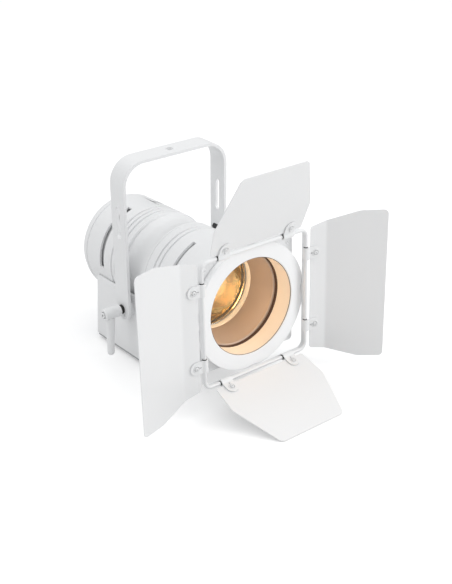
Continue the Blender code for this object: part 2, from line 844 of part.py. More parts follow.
def build_lever(name, pivot, side):
    """Clamp lever: a hub with a blind bore on the stud and a tapered handle that hangs down."""
    hub = lathe(
        f"clamp_lever_{name}",
        WHITE,
        [
            (0, 105.3),
            (3, 105.3),
            (3.5, 104.8),
            (3.5, 103.8),
            (6.6, 103.8),
            (7.5, 102.8),
            (7.5, 82),
            (6.2, 80.6),
            (4.4, 80.6),
            (4.4, 98),
            (0, 98),
        ],
        origin=pivot,
        axis=X_AXIS * side,
        segments=SMALL_ROUND,
    )
    top = pivot + Vector((side * 95, 0, -5.5))
    handle = lathe(
        f"handle_{name}",
        None,
        [(0, 0), (6, 0), (4.6, -47), (3.4, -50), (0, -51)],
        origin=top,
        axis=(-side * 0.05, 0, 1),
        segments=16,
    )
    combine(hub, handle, "UNION")


class Rail:
    """One side of the wire rim: where its leaf hinges and which way the leaf lies."""

    def __init__(self, name, centre, along, inwards):
        """Store the axis point, the direction along the leaf and its inner normal."""
        self.name = name
        self.centre = Vector(centre)
        self.along = Vector(along)
        self.inwards = Vector(inwards)
        self.hinge = self.along.cross(self.inwards)
        self.flat = axes(self.hinge, self.along)
        self.section = axes(self.along, self.inwards)


def rails():
    """The four rails with their leaves at rest."""
    top, bottom = math.radians(TOP_ANGLE), math.radians(BOTTOM_ANGLE)
    right, left = math.radians(75.0), math.radians(95.6)
    return {
        "top": Rail(
            "top",
            (0, RAIL_Y, RAIL_Z + RAIL_LIFT),
            (0, -math.cos(top), math.sin(top)),
            (0, -math.sin(top), -math.cos(top)),
        ),
        "bottom": Rail(
            "bottom",
            (0, RAIL_Y, RAIL_LIFT - RAIL_Z),
            (0, -math.cos(bottom), -math.sin(bottom)),
            (0, -math.sin(bottom), math.cos(bottom)),
        ),
        "right": Rail(
            "right",
            (RAIL_X, RAIL_Y, RAIL_LIFT),
            (math.sin(right), -math.cos(right), 0),
            (-math.cos(right), -math.sin(right), 0),
        ),
        "left": Rail(
            "left",
            (-RAIL_X, RAIL_Y, RAIL_LIFT),
            (-math.sin(left), -math.cos(left), 0),
            (math.cos(left), -math.sin(left), 0),
        ),
    }


def build_frame():
    """Rounded square band with a wire rim, clip notches and four tabs that enter the ring."""
    depth = BAND_BACK - (RAIL_Y - 0.1)
    half = BAND_SHEET / 2
    outer = rounded_rectangle(RAIL_X + half, RAIL_Z + half, RAIL_CORNER + half)
    inner = rounded_rectangle(RAIL_X - half, RAIL_Z - half, RAIL_CORNER - half)
    band = prism(
        "barn_door_frame",
        WHITE,
        [outer, inner],
        depth,
        (0, BAND_BACK - depth / 2, RAIL_LIFT),
        CROSS_SECTION,
    )
    room = CLIP_WIDTH + 2
    notch = BAND_BACK - 1.5
    cuts, tabs = [], []
    for side in (-1, 1):
        for place in (-CLIP_SPACING, CLIP_SPACING):
            cuts.append(((room, 10, 5), (place, notch - 5, side * RAIL_Z)))
            cuts.append(((5, 10, room), (side * RAIL_X, notch - 5, place)))
        reach = TAB_BACK + 3.5
        tabs.append(((TAB_WIDTH, reach, BAND_SHEET - 0.2), (0, TAB_BACK - reach / 2, side * RAIL_Z)))
        tabs.append(((BAND_SHEET - 0.2, reach, TAB_WIDTH), (side * RAIL_X, TAB_BACK - reach / 2, 0)))
    lift = (0, 0, RAIL_LIFT)
    combine(band, blocks("clip_notches", None, cuts, lift))
    combine(band, blocks("frame_tabs", None, tabs, lift), "UNION")
    path = rounded_rectangle(RAIL_X, RAIL_Z, RAIL_CORNER)
    wire = tube(
        "frame_wire",
        None,
        [(x, RAIL_Y, z) for x, z in path],
        WIRE_RADIUS,
        lift,
        cyclic=True,
    )
    combine(band, wire, "UNION")


def build_flat_leaf(rail):
    """Top or bottom leaf: wide near the hinge, narrower at its free edge."""
    corners = [(-65.5, LEAF_START, 2), (65.5, LEAF_START, 2), (68.4, 42, 6), (46.5, 105, 7)]
    corners += [(-46.5, 105, 7), (-68.4, 42, 6)]
    prism(f"leaf_{rail.name}", WHITE, [rounded(corners)], LEAF_SHEET, rail.centre, rail.flat)


def build_bent_leaf(rail, fold):
    """Side leaf: a strip at the hinge, then a larger panel folded towards the beam."""
    turn = math.radians(fold)
    along = Vector((math.cos(turn), math.sin(turn)))
    across = Vector((-math.sin(turn), math.cos(turn)))
    corner, end = Vector((SIDE_STRIP, 0)), Vector((SIDE_STRIP, 0)) + along * (SIDE_PANEL + 3)
    half = LEAF_SHEET / 2
    mitre = Vector((-math.tan(turn / 2), 1)) * half
    section = [
        (LEAF_START - 3, -half),
        corner - mitre,
        end - across * half,
        end + across * half,
        corner + mitre,
        (LEAF_START - 3, half),
    ]
    leaf = prism(f"leaf_{rail.name}", WHITE, [section], 200, rail.centre, rail.section)
    shape = [(79, LEAF_START, 3), (84, SIDE_STRIP, 0), (95.5, SIDE_STRIP + 39.5, 4)]
    shape += [(96, SIDE_STRIP + SIDE_PANEL, 6)]
    flat = []
    for height, reach, radius in shape:
        bent = max(0.0, reach - SIDE_STRIP)
        flat.append((height, reach - bent + bent * math.cos(turn), radius))
    outline = rounded([(-x, y, r) for x, y, r in reversed(flat)] + flat)
    tool = prism(
        f"leaf_outline_{rail.name}",
        None,
        [outline],
        80,
        rail.centre + rail.inwards * 20,
        rail.flat,
    )
    combine(leaf, tool, "INTERSECT")


def build_clip(rail, place, index):
    """Hinge clip: a curl round the wire and a tab on the leaf's inner face."""
    low = LEAF_SHEET / 2 + GAP
    high = low + CLIP_SHEET
    outer = CURL_BORE + CLIP_SHEET
    low_start = math.degrees(math.asin(low / CURL_BORE))
    high_start = math.degrees(math.asin(high / outer))
    tip = CLIP_REACH + CLIP_WIDTH / 2 + 3
    section = [(tip, low), *arc((0, 0), CURL_BORE, low_start, 320, 9)]
    section += [*arc((0, 0), outer, 320, high_start, 9), (tip, high)]
    origin = rail.centre + rail.hinge * place
    name = f"clip_{rail.name}_{index}"
    clip = prism(name, WHITE, [section], CLIP_WIDTH + 4, origin, rail.section)
    half = CLIP_WIDTH / 2
    outline = [(half, -8), *arc((0, CLIP_REACH), half, 0, 180, 8), (-half, -8)]
    combine(clip, prism(f"{name}_outline", None, [outline], 20, origin, rail.flat), "INTERSECT")


def build_barn_door():
    """Frame, four leaves and two clips for each."""
    build_frame()
    sides = rails()
    build_flat_leaf(sides["top"])
    build_flat_leaf(sides["bottom"])
    build_bent_leaf(sides["right"], 24.0)
    build_bent_leaf(sides["left"], 20.6)
    for rail in sides.values():
        for index, place in enumerate((-CLIP_SPACING, CLIP_SPACING), start=1):
            build_clip(rail, place, index)


build_front()
build_rear()
build_hood()
build_optics()
build_focus()
build_fan()
build_box()
build_controls()
build_board()
build_eye()
build_yoke()
build_barn_door()
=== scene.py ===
"""Looks of the white theatre spot: turned barrel, four-leaf barn door, yoke with clamp levers and box.

Sizes are millimetres in the lamp's own frame. Its origin is the centre of the hood ring's front face,
with x to the right seen from the front, y backwards along the optical axis and z up. An outline is a
list of (radius, height) points.
"""

import logging
from collections.abc import Callable, Sequence
from dataclasses import dataclass, field
from enum import Enum
from math import atan2, cos, radians, sin, sqrt, tau

import bmesh
import bpy
from mathutils import Matrix, Vector


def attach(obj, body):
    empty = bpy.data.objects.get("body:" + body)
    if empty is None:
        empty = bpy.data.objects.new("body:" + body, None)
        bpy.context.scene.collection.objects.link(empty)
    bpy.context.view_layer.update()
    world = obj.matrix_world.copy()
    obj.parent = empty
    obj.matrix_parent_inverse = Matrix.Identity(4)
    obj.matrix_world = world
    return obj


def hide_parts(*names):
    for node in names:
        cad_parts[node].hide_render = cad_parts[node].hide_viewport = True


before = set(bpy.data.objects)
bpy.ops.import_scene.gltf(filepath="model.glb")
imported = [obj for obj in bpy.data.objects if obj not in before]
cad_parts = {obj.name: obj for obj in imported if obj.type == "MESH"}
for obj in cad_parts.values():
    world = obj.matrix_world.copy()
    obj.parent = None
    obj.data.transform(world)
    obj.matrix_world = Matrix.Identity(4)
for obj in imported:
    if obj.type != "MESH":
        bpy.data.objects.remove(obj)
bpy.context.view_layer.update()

log = logging.getLogger("spot")

MM = 0.001
LAMP = Vector((7.1, -93.0, 112.3))  # the lamp's origin in the row frame
ROUND, MEDIUM, SMALL = 96, 48, 32  # steps of a full turn
PATCHES = 14.0  # scale of the broad patches that every finish has
PATCH_SHARE = 0.65  # how much of a colour's change they carry
ROUGH_FINE, ROUGH_BROAD = 0.12, 0.08
BUMP_STRENGTH = 0.6
COAT_ROUGHNESS = 0.12
X, Y, Z = Vector((1, 0, 0)), Vector((0, 1, 0)), Vector((0, 0, 1))
SIDES = ((-1, "left"), (1, "right"))

Colour = tuple[float, float, float]
Point = tuple[float, float]
Obj = bpy.types.Object


class Signal:
    """A shader socket that adds Math nodes when it is used in a sum."""

    def __init__(self, shop: "NodeShop", socket: bpy.types.NodeSocket) -> None:
        """Keep the socket and the shop it belongs to."""
        self.shop, self.socket = shop, socket

    def _join(self, operation: str, first: "Signal | float", second: "Signal | float") -> "Signal":
        """Add one Math node."""
        return self.shop.node("ShaderNodeMath", {"operation": operation}, {0: first, 1: second})

    def __add__(self, other: "Signal | float") -> "Signal":
        """Sum."""
        return self._join("ADD", self, other)

    def __radd__(self, other: float) -> "Signal":
        """Sum with a number on the left."""
        return self._join("ADD", other, self)

    def __sub__(self, other: "Signal | float") -> "Signal":
        """Difference."""
        return self._join("SUBTRACT", self, other)

    def __rsub__(self, other: float) -> "Signal":
        """Difference from a number."""
        return self._join("SUBTRACT", other, self)

    def __mul__(self, other: "Signal | float") -> "Signal":
        """Product."""
        return self._join("MULTIPLY", self, other)

    def __rmul__(self, other: float) -> "Signal":
        """Product with a number on the left."""
        return self._join("MULTIPLY", other, self)


class NodeShop:
    """Makes the nodes of one material."""

    def __init__(self, name: str) -> None:
        """Start an empty material with a Principled shader.

        Args:
            name: the material's name.
        """
        self.material = bpy.data.materials.new(name)
        self.material.use_nodes = True
        self.tree = self.material.node_tree
        self.shader = self.tree.nodes["Principled BSDF"]

    def node(self, kind: str, settings: dict, values: dict, out: int | str = 0) -> Signal:
        """Add any node.

        Args:
            kind: the node's type.
            settings: properties of the node, set before its sockets.
            values: what each input socket gets, a number, a colour or a signal.
            out: which output to hand back.

        Returns:
            The chosen output.
        """
        made = self.tree.nodes.new(kind)
        for key, value in settings.items():
            setattr(made, key, value)
        for key, value in values.items():
            self.feed(made.inputs[key], value)
        return Signal(self, made.outputs[out])

    def feed(self, socket: bpy.types.NodeSocket, value: "Signal | float | Sequence[float]") -> None:
        """Link a signal to a socket, or set its number."""
        if isinstance(value, Signal):
            self.tree.links.new(value.socket, socket)
        else:
            socket.default_value = value

    def blend(self, amount: Signal, first: Colour, second: Colour) -> Signal:
        """Mix two colours.

        Args:
            amount: 0 for the first and 1 for the second.
            first: one colour.
            second: the other.

        Returns:
            The mixed colour.
        """
        values = {"Factor": amount, "A": (*first, 1), "B": (*second, 1)}
        return self.node("ShaderNodeMix", {"data_type": "RGBA"}, values, 2)


class Grain(Enum):
    """How a surface was made, which sets its fine pattern."""

    SPRAYED = "powder coat"
    MOULDED = "moulded skin"
    TURNED = "rings about the optical axis"
    BRUSHED = "lines along the depth"
    CHIPPED = "cells"


@dataclass(frozen=True)
class Finish:
    """One finish: its colour and how it catches the light."""

    slot: str
    colour: Colour
    roughness: float = 0.45
    metallic: float = 0.0
    grain: Grain = Grain.SPRAYED
    size: float = 0.7
    depth: float = 0.012
    spread: float = 0.04
    coat: float = 0.0
    transmission: float = 0.0
    ior: float = 1.5
    tint: str = ""
    glow: Colour = (0.0, 0.0, 0.0)
    glow_strength: float = 0.0

    def material(self) -> bpy.types.Material:
        """Make the material, or find it if it is already made.

        Returns:
            The material.
        """
        name = f"spot_{self.slot}{self.tint}"
        return bpy.data.materials.get(name) or self._build(name)

    def _fine(self, shop: NodeShop, place: Signal) -> Signal:
        """The fine pattern of this grain."""
        scale = 1 / (self.size * MM)
        squeeze = {Grain.TURNED: 0.2, Grain.BRUSHED: 0.03}.get(self.grain)
        if squeeze:
            values = {0: place, 1: (1, squeeze, 1)}
            place = shop.node("ShaderNodeVectorMath", {"operation": "MULTIPLY"}, values)
        if self.grain is Grain.TURNED:
            away = shop.node("ShaderNodeVectorMath", {"operation": "LENGTH"}, {0: place}, "Value")
            values = {"W": away, "Scale": scale, "Detail": 2.0}
            return shop.node("ShaderNodeTexNoise", {"noise_dimensions": "1D"}, values)
        if self.grain is Grain.CHIPPED:
            return shop.node("ShaderNodeTexVoronoi", {}, {"Vector": place, "Scale": scale})
        detail = 4.0 if self.grain is Grain.MOULDED else 2.0
        values = {"Vector": place, "Scale": scale, "Detail": detail, "Roughness": 0.55}
        return shop.node("ShaderNodeTexNoise", {}, values)

    def _build(self, name: str) -> bpy.types.Material:
        """Wire up the material."""
        shop = NodeShop(name)
        where = shop.node("ShaderNodeTexCoord", {}, {}, "Object")
        centre = {"Vector": where, "Location": tuple(-LAMP * MM)}
        place = shop.node("ShaderNodeMapping", {}, centre)
        fine = self._fine(shop, place)
        patches = {"Vector": place, "Scale": PATCHES, "Detail": 3.0}
        broad = shop.node("ShaderNodeTexNoise", {}, patches)
        shade = broad * PATCH_SHARE + fine * (1 - PATCH_SHARE)
        dark = tuple(max(0.0, c * (1 - self.spread)) for c in self.colour)
        light = tuple(min(1.0, c * (1 + self.spread)) for c in self.colour)
        shader = shop.shader
        shop.feed(shader.inputs["Base Color"], shop.blend(shade, dark, light))
        rough = self.roughness + (fine - 0.5) * ROUGH_FINE + (broad - 0.5) * ROUGH_BROAD
        shop.feed(shader.inputs["Roughness"], rough)
        bump = {"Height": fine, "Distance": self.depth * MM, "Strength": BUMP_STRENGTH}
        shop.feed(shader.inputs["Normal"], shop.node("ShaderNodeBump", {}, bump))
        constants = {
            "Metallic": self.metallic,
            "Coat Weight": self.coat,
            "Coat Roughness": COAT_ROUGHNESS,
            "Transmission Weight": self.transmission,
            "IOR": self.ior,
            "Emission Color": (*self.glow, 1),
            "Emission Strength": self.glow_strength,
        }
        for key, value in constants.items():
            shader.inputs[key].default_value = value
        return shop.material


WHITE = Finish("white_paint", (0.83, 0.835, 0.84), 0.42, coat=0.08, spread=0.015)
# Lighter copy of the white paint: painted light on the hood ring, making up for the light that the barn
# door shades off it.
PAINTED_LIGHT_WHITE = Finish("white_paint", (0.93, 0.935, 0.94), 0.4, coat=0.08, spread=0.012, tint="_painted_light")
BLACK_METAL = Finish("black_metal", (0.018, 0.017, 0.016), 0.38, 0.3, size=0.5)
BLACK_PLASTIC = Finish("black_plastic", (0.022, 0.022, 0.024), 0.5, grain=Grain.MOULDED, size=0.4)
RUBBER = Finish("rubber", (0.03, 0.03, 0.031), 0.82, grain=Grain.MOULDED, size=0.35, depth=0.03)
ALUMINIUM = Finish("bare_aluminium", (0.78, 0.78, 0.8), 0.34, 1.0, Grain.BRUSHED, 0.3, 0.01)
STEEL = Finish("steel", (0.62, 0.62, 0.64), 0.28, 1.0, Grain.BRUSHED, 0.25, 0.006)
# Tan of the inner tube: partly its own colour, partly painted warm light from the lamp inside the
# barrel.
TAN_WARM_LIGHT = Finish("tan_anodised", (0.5, 0.385, 0.3), 0.42, 0.25, Grain.TURNED, 0.5, 0.006)
# Dark brown of the baffle ring and of the thin ring at the hood's mouth: painted shade for the shadowed
# gaps there.
GAP_SHADE_BROWN = Finish("black_metal", (0.075, 0.035, 0.02), 0.5, 0.1, size=0.5, tint="brown")
# Cream of the sleeve inside the hood's mouth: painted warm light, white paint coloured as the warm
# light colours it.
WARM_LIGHT_CREAM = Finish("cream_ring", (0.95, 0.83, 0.68), 0.38, 0.0, Grain.TURNED, 0.6, 0.006)
# Cream ring that glows: painted light, since the lens retainer is no lamp.
PAINTED_GLOW_RING = Finish(
    "cream_ring", (1.0, 0.9, 0.74), 0.35, 0.0, Grain.TURNED, 0.6, 0.006, tint="_painted_glow",
    glow=(1.0, 0.74, 0.48), glow_strength=0.12,
)
GOLD = Finish("gold_reflector", (0.98, 0.76, 0.44), 0.12, 1.0, Grain.SPRAYED, 13.0, 0.9, 0.05)
GLASS = Finish("lens_glass", (0.99, 0.99, 0.98), 0.02, transmission=1.0, size=2.0, depth=0.0)
LED = Finish(
    "led_yellow", (0.95, 0.72, 0.2), 0.35, grain=Grain.CHIPPED, size=1.6, coat=0.5,
    glow=(1.0, 0.62, 0.25), glow_strength=2.0,
)
BOARD = Finish("circuit_board", (0.03, 0.2, 0.1), 0.5, grain=Grain.CHIPPED, size=2.5, spread=0.3)
BLUE = Finish("blue_plastic", (0.03, 0.12, 0.5), 0.45, grain=Grain.MOULDED, size=0.4)
GREY = Finish("grey_plastic", (0.4, 0.4, 0.42), 0.48, grain=Grain.MOULDED, size=0.4)
GREY_SHEET = Finish("grey_sheet", (0.5, 0.51, 0.52), 0.42, 0.8, Grain.CHIPPED, 4.0, 0.01, 0.12)
PANEL = Finish("panel_black", (0.035, 0.035, 0.038), 0.5, size=0.5)
SMOKED = Finish("smoked_window", (0.03, 0.05, 0.06), 0.08, coat=0.6, size=2.0, depth=0.0)


def lamp(x: float, y: float, z: float) -> Vector:
    """A lamp-frame point in metres of the row frame."""
    return (Vector((x, y, z)) + LAMP) * MM


def facing(direction: Sequence[float], point: Sequence[float]) -> Matrix:
    """Matrix that turns local Z to a direction and moves the origin to a lamp point."""
    turned = Vector(direction).to_track_quat("Z", "Y").to_matrix().to_4x4()
    return Matrix.Translation(lamp(*point)) @ turned


AXIS = facing(Y, (0, 0, 0))


def moved(x: float, y: float, z: float) -> Matrix:
    """Matrix that moves the origin to a lamp point."""
    return Matrix.Translation(lamp(x, y, z))


def shift(x: float, y: float, z: float) -> Matrix:
    """Matrix that moves by millimetres."""
    return Matrix.Translation(Vector((x, y, z)) * MM)


def spun(degrees: float, axis: str) -> Matrix:
    """Matrix that turns about an axis through the origin."""
    return Matrix.Rotation(radians(degrees), 4, axis)


def framed(columns: Sequence[Sequence[float]], point: Sequence[float]) -> Matrix:
    """Matrix with three given axes and its origin at a lamp point."""
    turned = Matrix([Vector(column) for column in columns]).transposed().to_4x4()
    return moved(*point) @ turned


class Bench:
    """Hand operations on the piece being made. Sizes are millimetres about the piece's own origin."""

    @staticmethod
    def clear() -> None:
        """Leave edit mode and deselect everything."""
        if bpy.context.mode != "OBJECT":
            bpy.ops.object.mode_set(mode="OBJECT")
        bpy.ops.object.select_all(action="DESELECT")

    @classmethod
    def begin(cls, name: str, kind: str, **options: object) -> Obj:
        """Add a primitive and enter edit mode on it.

        Args:
            name: the new piece's name.
            kind: plane, cube, circle, cylinder or uv_sphere.
            options: what the primitive operator takes.

        Returns:
            The new object.
        """
        cls.clear()
        getattr(bpy.ops.mesh, f"primitive_{kind}_add")(**options)
        obj = bpy.context.object
        obj.name = obj.data.name = name
        bpy.ops.object.mode_set(mode="EDIT")
        return obj

    @staticmethod
    def pick(kind: str, test: Callable[[Vector], bool]) -> None:
        """Select vertices, edges or faces by where their middle is.

        Args:
            kind: VERT, EDGE or FACE.
            test: says yes or no to a middle, in millimetres.
        """
        bpy.ops.mesh.select_mode(type=kind)
        bpy.ops.mesh.select_all(action="DESELECT")
        mesh = bmesh.from_edit_mesh(bpy.context.edit_object.data)
        for part in {"VERT": mesh.verts, "EDGE": mesh.edges, "FACE": mesh.faces}[kind]:
            corners = [part] if kind == "VERT" else part.verts
            middle = sum((corner.co for corner in corners), Vector()) / len(corners)
            if test(middle / MM):
                part.select_set(True)
        mesh.select_flush_mode()
        bmesh.update_edit_mesh(bpy.context.edit_object.data)

    @staticmethod
    def move(vector: Sequence[float]) -> None:
        """Move the selection."""
        bpy.ops.transform.translate(value=Vector(vector) * MM)

    @staticmethod
    def pull(vector: Sequence[float]) -> None:
        """Extrude the selection by a vector."""
        bpy.ops.mesh.extrude_region_move(TRANSFORM_OT_translate={"value": Vector(vector) * MM})

    @staticmethod
    def swing(centre: Sequence[float], axis: Sequence[float], angle: float, steps: int) -> None:
        """Spin the selection about an axis, in degrees. The operator counts turns the other way."""
        bpy.ops.mesh.spin(
            steps=steps,
            angle=radians(-angle),
            center=Vector(centre) * MM,
            axis=Vector(axis),
            use_auto_merge=False,
        )

    @staticmethod
    def tidy() -> None:
        """Merge doubles, turn faces outwards and leave edit mode."""
        bpy.ops.mesh.select_mode(type="VERT")
        bpy.ops.mesh.select_all(action="SELECT")
        bpy.ops.mesh.remove_doubles(threshold=0.002 * MM)
        bpy.ops.mesh.normals_make_consistent(inside=False)
        bpy.ops.object.mode_set(mode="OBJECT")

    @staticmethod
    def smooth(degrees: float) -> None:
        """Shade the active piece smooth, apart from edges sharper than this."""
        bpy.ops.object.shade_smooth_by_angle(angle=radians(degrees))

    @staticmethod
    def flatten() -> None:
        """Join the faces of the active piece that lie in one plane."""
        bpy.ops.object.mode_set(mode="EDIT")
        bpy.ops.mesh.select_all(action="SELECT")
        bpy.ops.mesh.dissolve_limited(angle_limit=0.002)
        bpy.ops.object.mode_set(mode="OBJECT")

    @classmethod
    def take(cls, obj: Obj) -> None:
        """Select one piece alone and make it active."""
        cls.clear()
        obj.select_set(True)
        bpy.context.view_layer.objects.active = obj

    @classmethod
    def place(cls, obj: Obj, matrix: Matrix) -> Obj:
        """Put a finished mesh where it belongs and apply its transform."""
        cls.take(obj)
        obj.matrix_world = matrix
        bpy.ops.object.transform_apply(location=True, rotation=True, scale=True)
        return obj

    @classmethod
    def modify(cls, obj: Obj, kind: str, **settings: object) -> Obj:
        """Add a modifier and apply it."""
        cls.take(obj)
        modifier = obj.modifiers.new(kind.title(), kind)
        for key, value in settings.items():
            setattr(modifier, key, value)
        bpy.ops.object.modifier_apply(modifier=modifier.name)
        return obj

    @classmethod
    def soften(cls, obj: Obj, width: float, segments: int = 2, angle: float = 35.0) -> Obj:
        """Round the sharp edges and shade the rest smooth."""
        cls.modify(
            obj, "BEVEL", width=width * MM, segments=segments,
            limit_method="ANGLE", angle_limit=radians(angle), harden_normals=False,
        )
        cls.smooth(angle)
        return cls.modify(obj, "WEIGHTED_NORMAL", mode="FACE_AREA", keep_sharp=True)

    @classmethod
    def combine(cls, obj: Obj, tools: Sequence[Obj], operation: str = "DIFFERENCE") -> Obj:
        """Cut tools from a piece, or join them to it, and remove them."""
        for tool in tools:
            cls.modify(obj, "BOOLEAN", operation=operation, object=tool, solver="EXACT")
            bpy.data.objects.remove(tool, do_unlink=True)
        return obj

    @classmethod
    def turned(cls, name: str, profile: Sequence[Point], matrix: Matrix, segments: int = ROUND) -> Obj:
        """Draw a profile point by point and spin it about local Z.

        Args:
            name: the piece's name.
            profile: (radius, height) points. One that stays off the axis closes on itself.
            matrix: where the piece goes.
            segments: steps of the full turn.

        Returns:
            The turned piece.
        """
        points = list(profile)
        if min(radius for radius, _ in points) > 0:
            points.append(points[0])
        obj = cls.begin(name, "plane", size=MM)
        bpy.ops.mesh.merge(type="CENTER")
        cls.move((points[0][0], 0, points[0][1]))
        for before, after in zip(points, points[1:]):
            step = Vector((after[0] - before[0], 0, after[1] - before[1])) * MM
            bpy.ops.mesh.extrude_vertices_move(TRANSFORM_OT_translate={"value": step})
        bpy.ops.mesh.select_all(action="SELECT")
        cls.swing((0, 0, 0), Z, 360.0, segments)
        cls.tidy()
        return cls.place(obj, matrix)

    @classmethod
    def rod(cls, name: str, radius: float, reach: float, matrix: Matrix, segments: int = ROUND) -> Obj:
        """A plain rod that stands on its origin."""
        return cls.turned(name, [(0, reach), (radius, reach), (radius, 0), (0, 0)], matrix, segments)

    @classmethod
    def swept(
        cls, name: str, loop: tuple, moves: Sequence[tuple], matrix: Matrix, closed: bool = False
    ) -> Obj:
        """Carry a loop along a path of straight pulls and swings.

        Args:
            name: the piece's name.
            loop: (width, depth, matrix) of a rectangle or (radius, matrix) of a circle.
            moves: a vector for a pull, or (centre, axis, degrees, steps) for a swing.
            matrix: where the piece goes.
            closed: whether the path comes back to its start.

        Returns:
            The swept piece.
        """
        if len(loop) == 3:
            obj = cls.begin(name, "plane", size=1)
            bpy.ops.transform.resize(value=(loop[0] * MM, loop[1] * MM, 1))
            bpy.ops.mesh.delete(type="ONLY_FACE")
        else:
            obj = cls.begin(name, "circle", radius=loop[0] * MM, vertices=24)
        start = loop[-1].copy()
        start.translation *= MM
        bpy.ops.object.mode_set(mode="OBJECT")
        cls.place(obj, start)
        bpy.ops.object.mode_set(mode="EDIT")
        bpy.ops.mesh.select_mode(type="EDGE")
        bpy.ops.mesh.select_all(action="SELECT")
        for step in moves:
            if isinstance(step[0], (int, float)):
                bpy.ops.mesh.extrude_edges_move(TRANSFORM_OT_translate={"value": Vector(step) * MM})
            else:
                cls.swing(*step)
        if not closed:
            bpy.ops.mesh.select_all(action="SELECT")
            bpy.ops.mesh.fill_holes(sides=0)
        cls.tidy()
        return cls.place(obj, matrix)

    @classmethod
    def block(cls, name: str, size: Sequence[float], matrix: Matrix) -> Obj:
        """A plain block, for a tool or as a start."""
        obj = cls.begin(name, "cube", size=1)
        bpy.ops.transform.resize(value=Vector(size) * MM)
        cls.tidy()
        return cls.place(obj, matrix)

    @classmethod
    def twin(cls, obj: Obj, name: str, matrix: Matrix) -> Obj:
        """A copy with its own mesh, carried by a matrix."""
        cls.clear()
        copy = obj.copy()
        copy.data = obj.data.copy()
        copy.name = copy.data.name = name
        bpy.context.scene.collection.objects.link(copy)
        return cls.place(copy, matrix)

    @classmethod
    def dress(cls, obj: Obj, finish: Finish, body: str, *nodes: str) -> Obj:
        """Give a piece its finish, its body and the CAD nodes it stands for."""
        cls.clear()
        obj.data.materials.clear()
        obj.data.materials.append(finish.material())
        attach(obj, body)
        if nodes:
            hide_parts(*nodes)
        log.info("%s rides %s, %d faces", obj.name, body, len(obj.data.polygons))
        return obj


def grooves(radius: float, places: Sequence[tuple[float, float, float]]) -> list[Point]:
    """Profile points along an outer wall, rear to front, with a dip at each (y, half width, depth)."""
    points = []
    for y, half, depth in places:
        floor, foot = radius - depth, half - 0.3
        points += [(radius, y + half), (floor, y + foot), (floor, y - foot), (radius, y - half)]
    return points


def screw_head(name: str, radius: float, height: float, matrix: Matrix) -> Obj:
    """A pan head with a hexagonal socket.

    Args:
        name: the piece's name.
        radius: of the head.
        height: of the head.
        matrix: where its seat is and which way it looks.

    Returns:
        The head.
    """
    profile = [
        (0, height), (radius * 0.72, height), (radius * 0.92, height * 0.75),
        (radius, height * 0.35), (radius, -0.4), (0, -0.4),
    ]
    head = Bench.turned(name, profile, Matrix.Identity(4), 24)
    Bench.begin("socket", "cylinder", vertices=6, radius=radius * 0.45 * MM, depth=height * MM)
    Bench.tidy()
    socket = Bench.place(bpy.context.object, Matrix.Translation((0, 0, height * MM)))
    Bench.combine(head, [socket])
    Bench.smooth(30)
    return Bench.place(head, matrix)


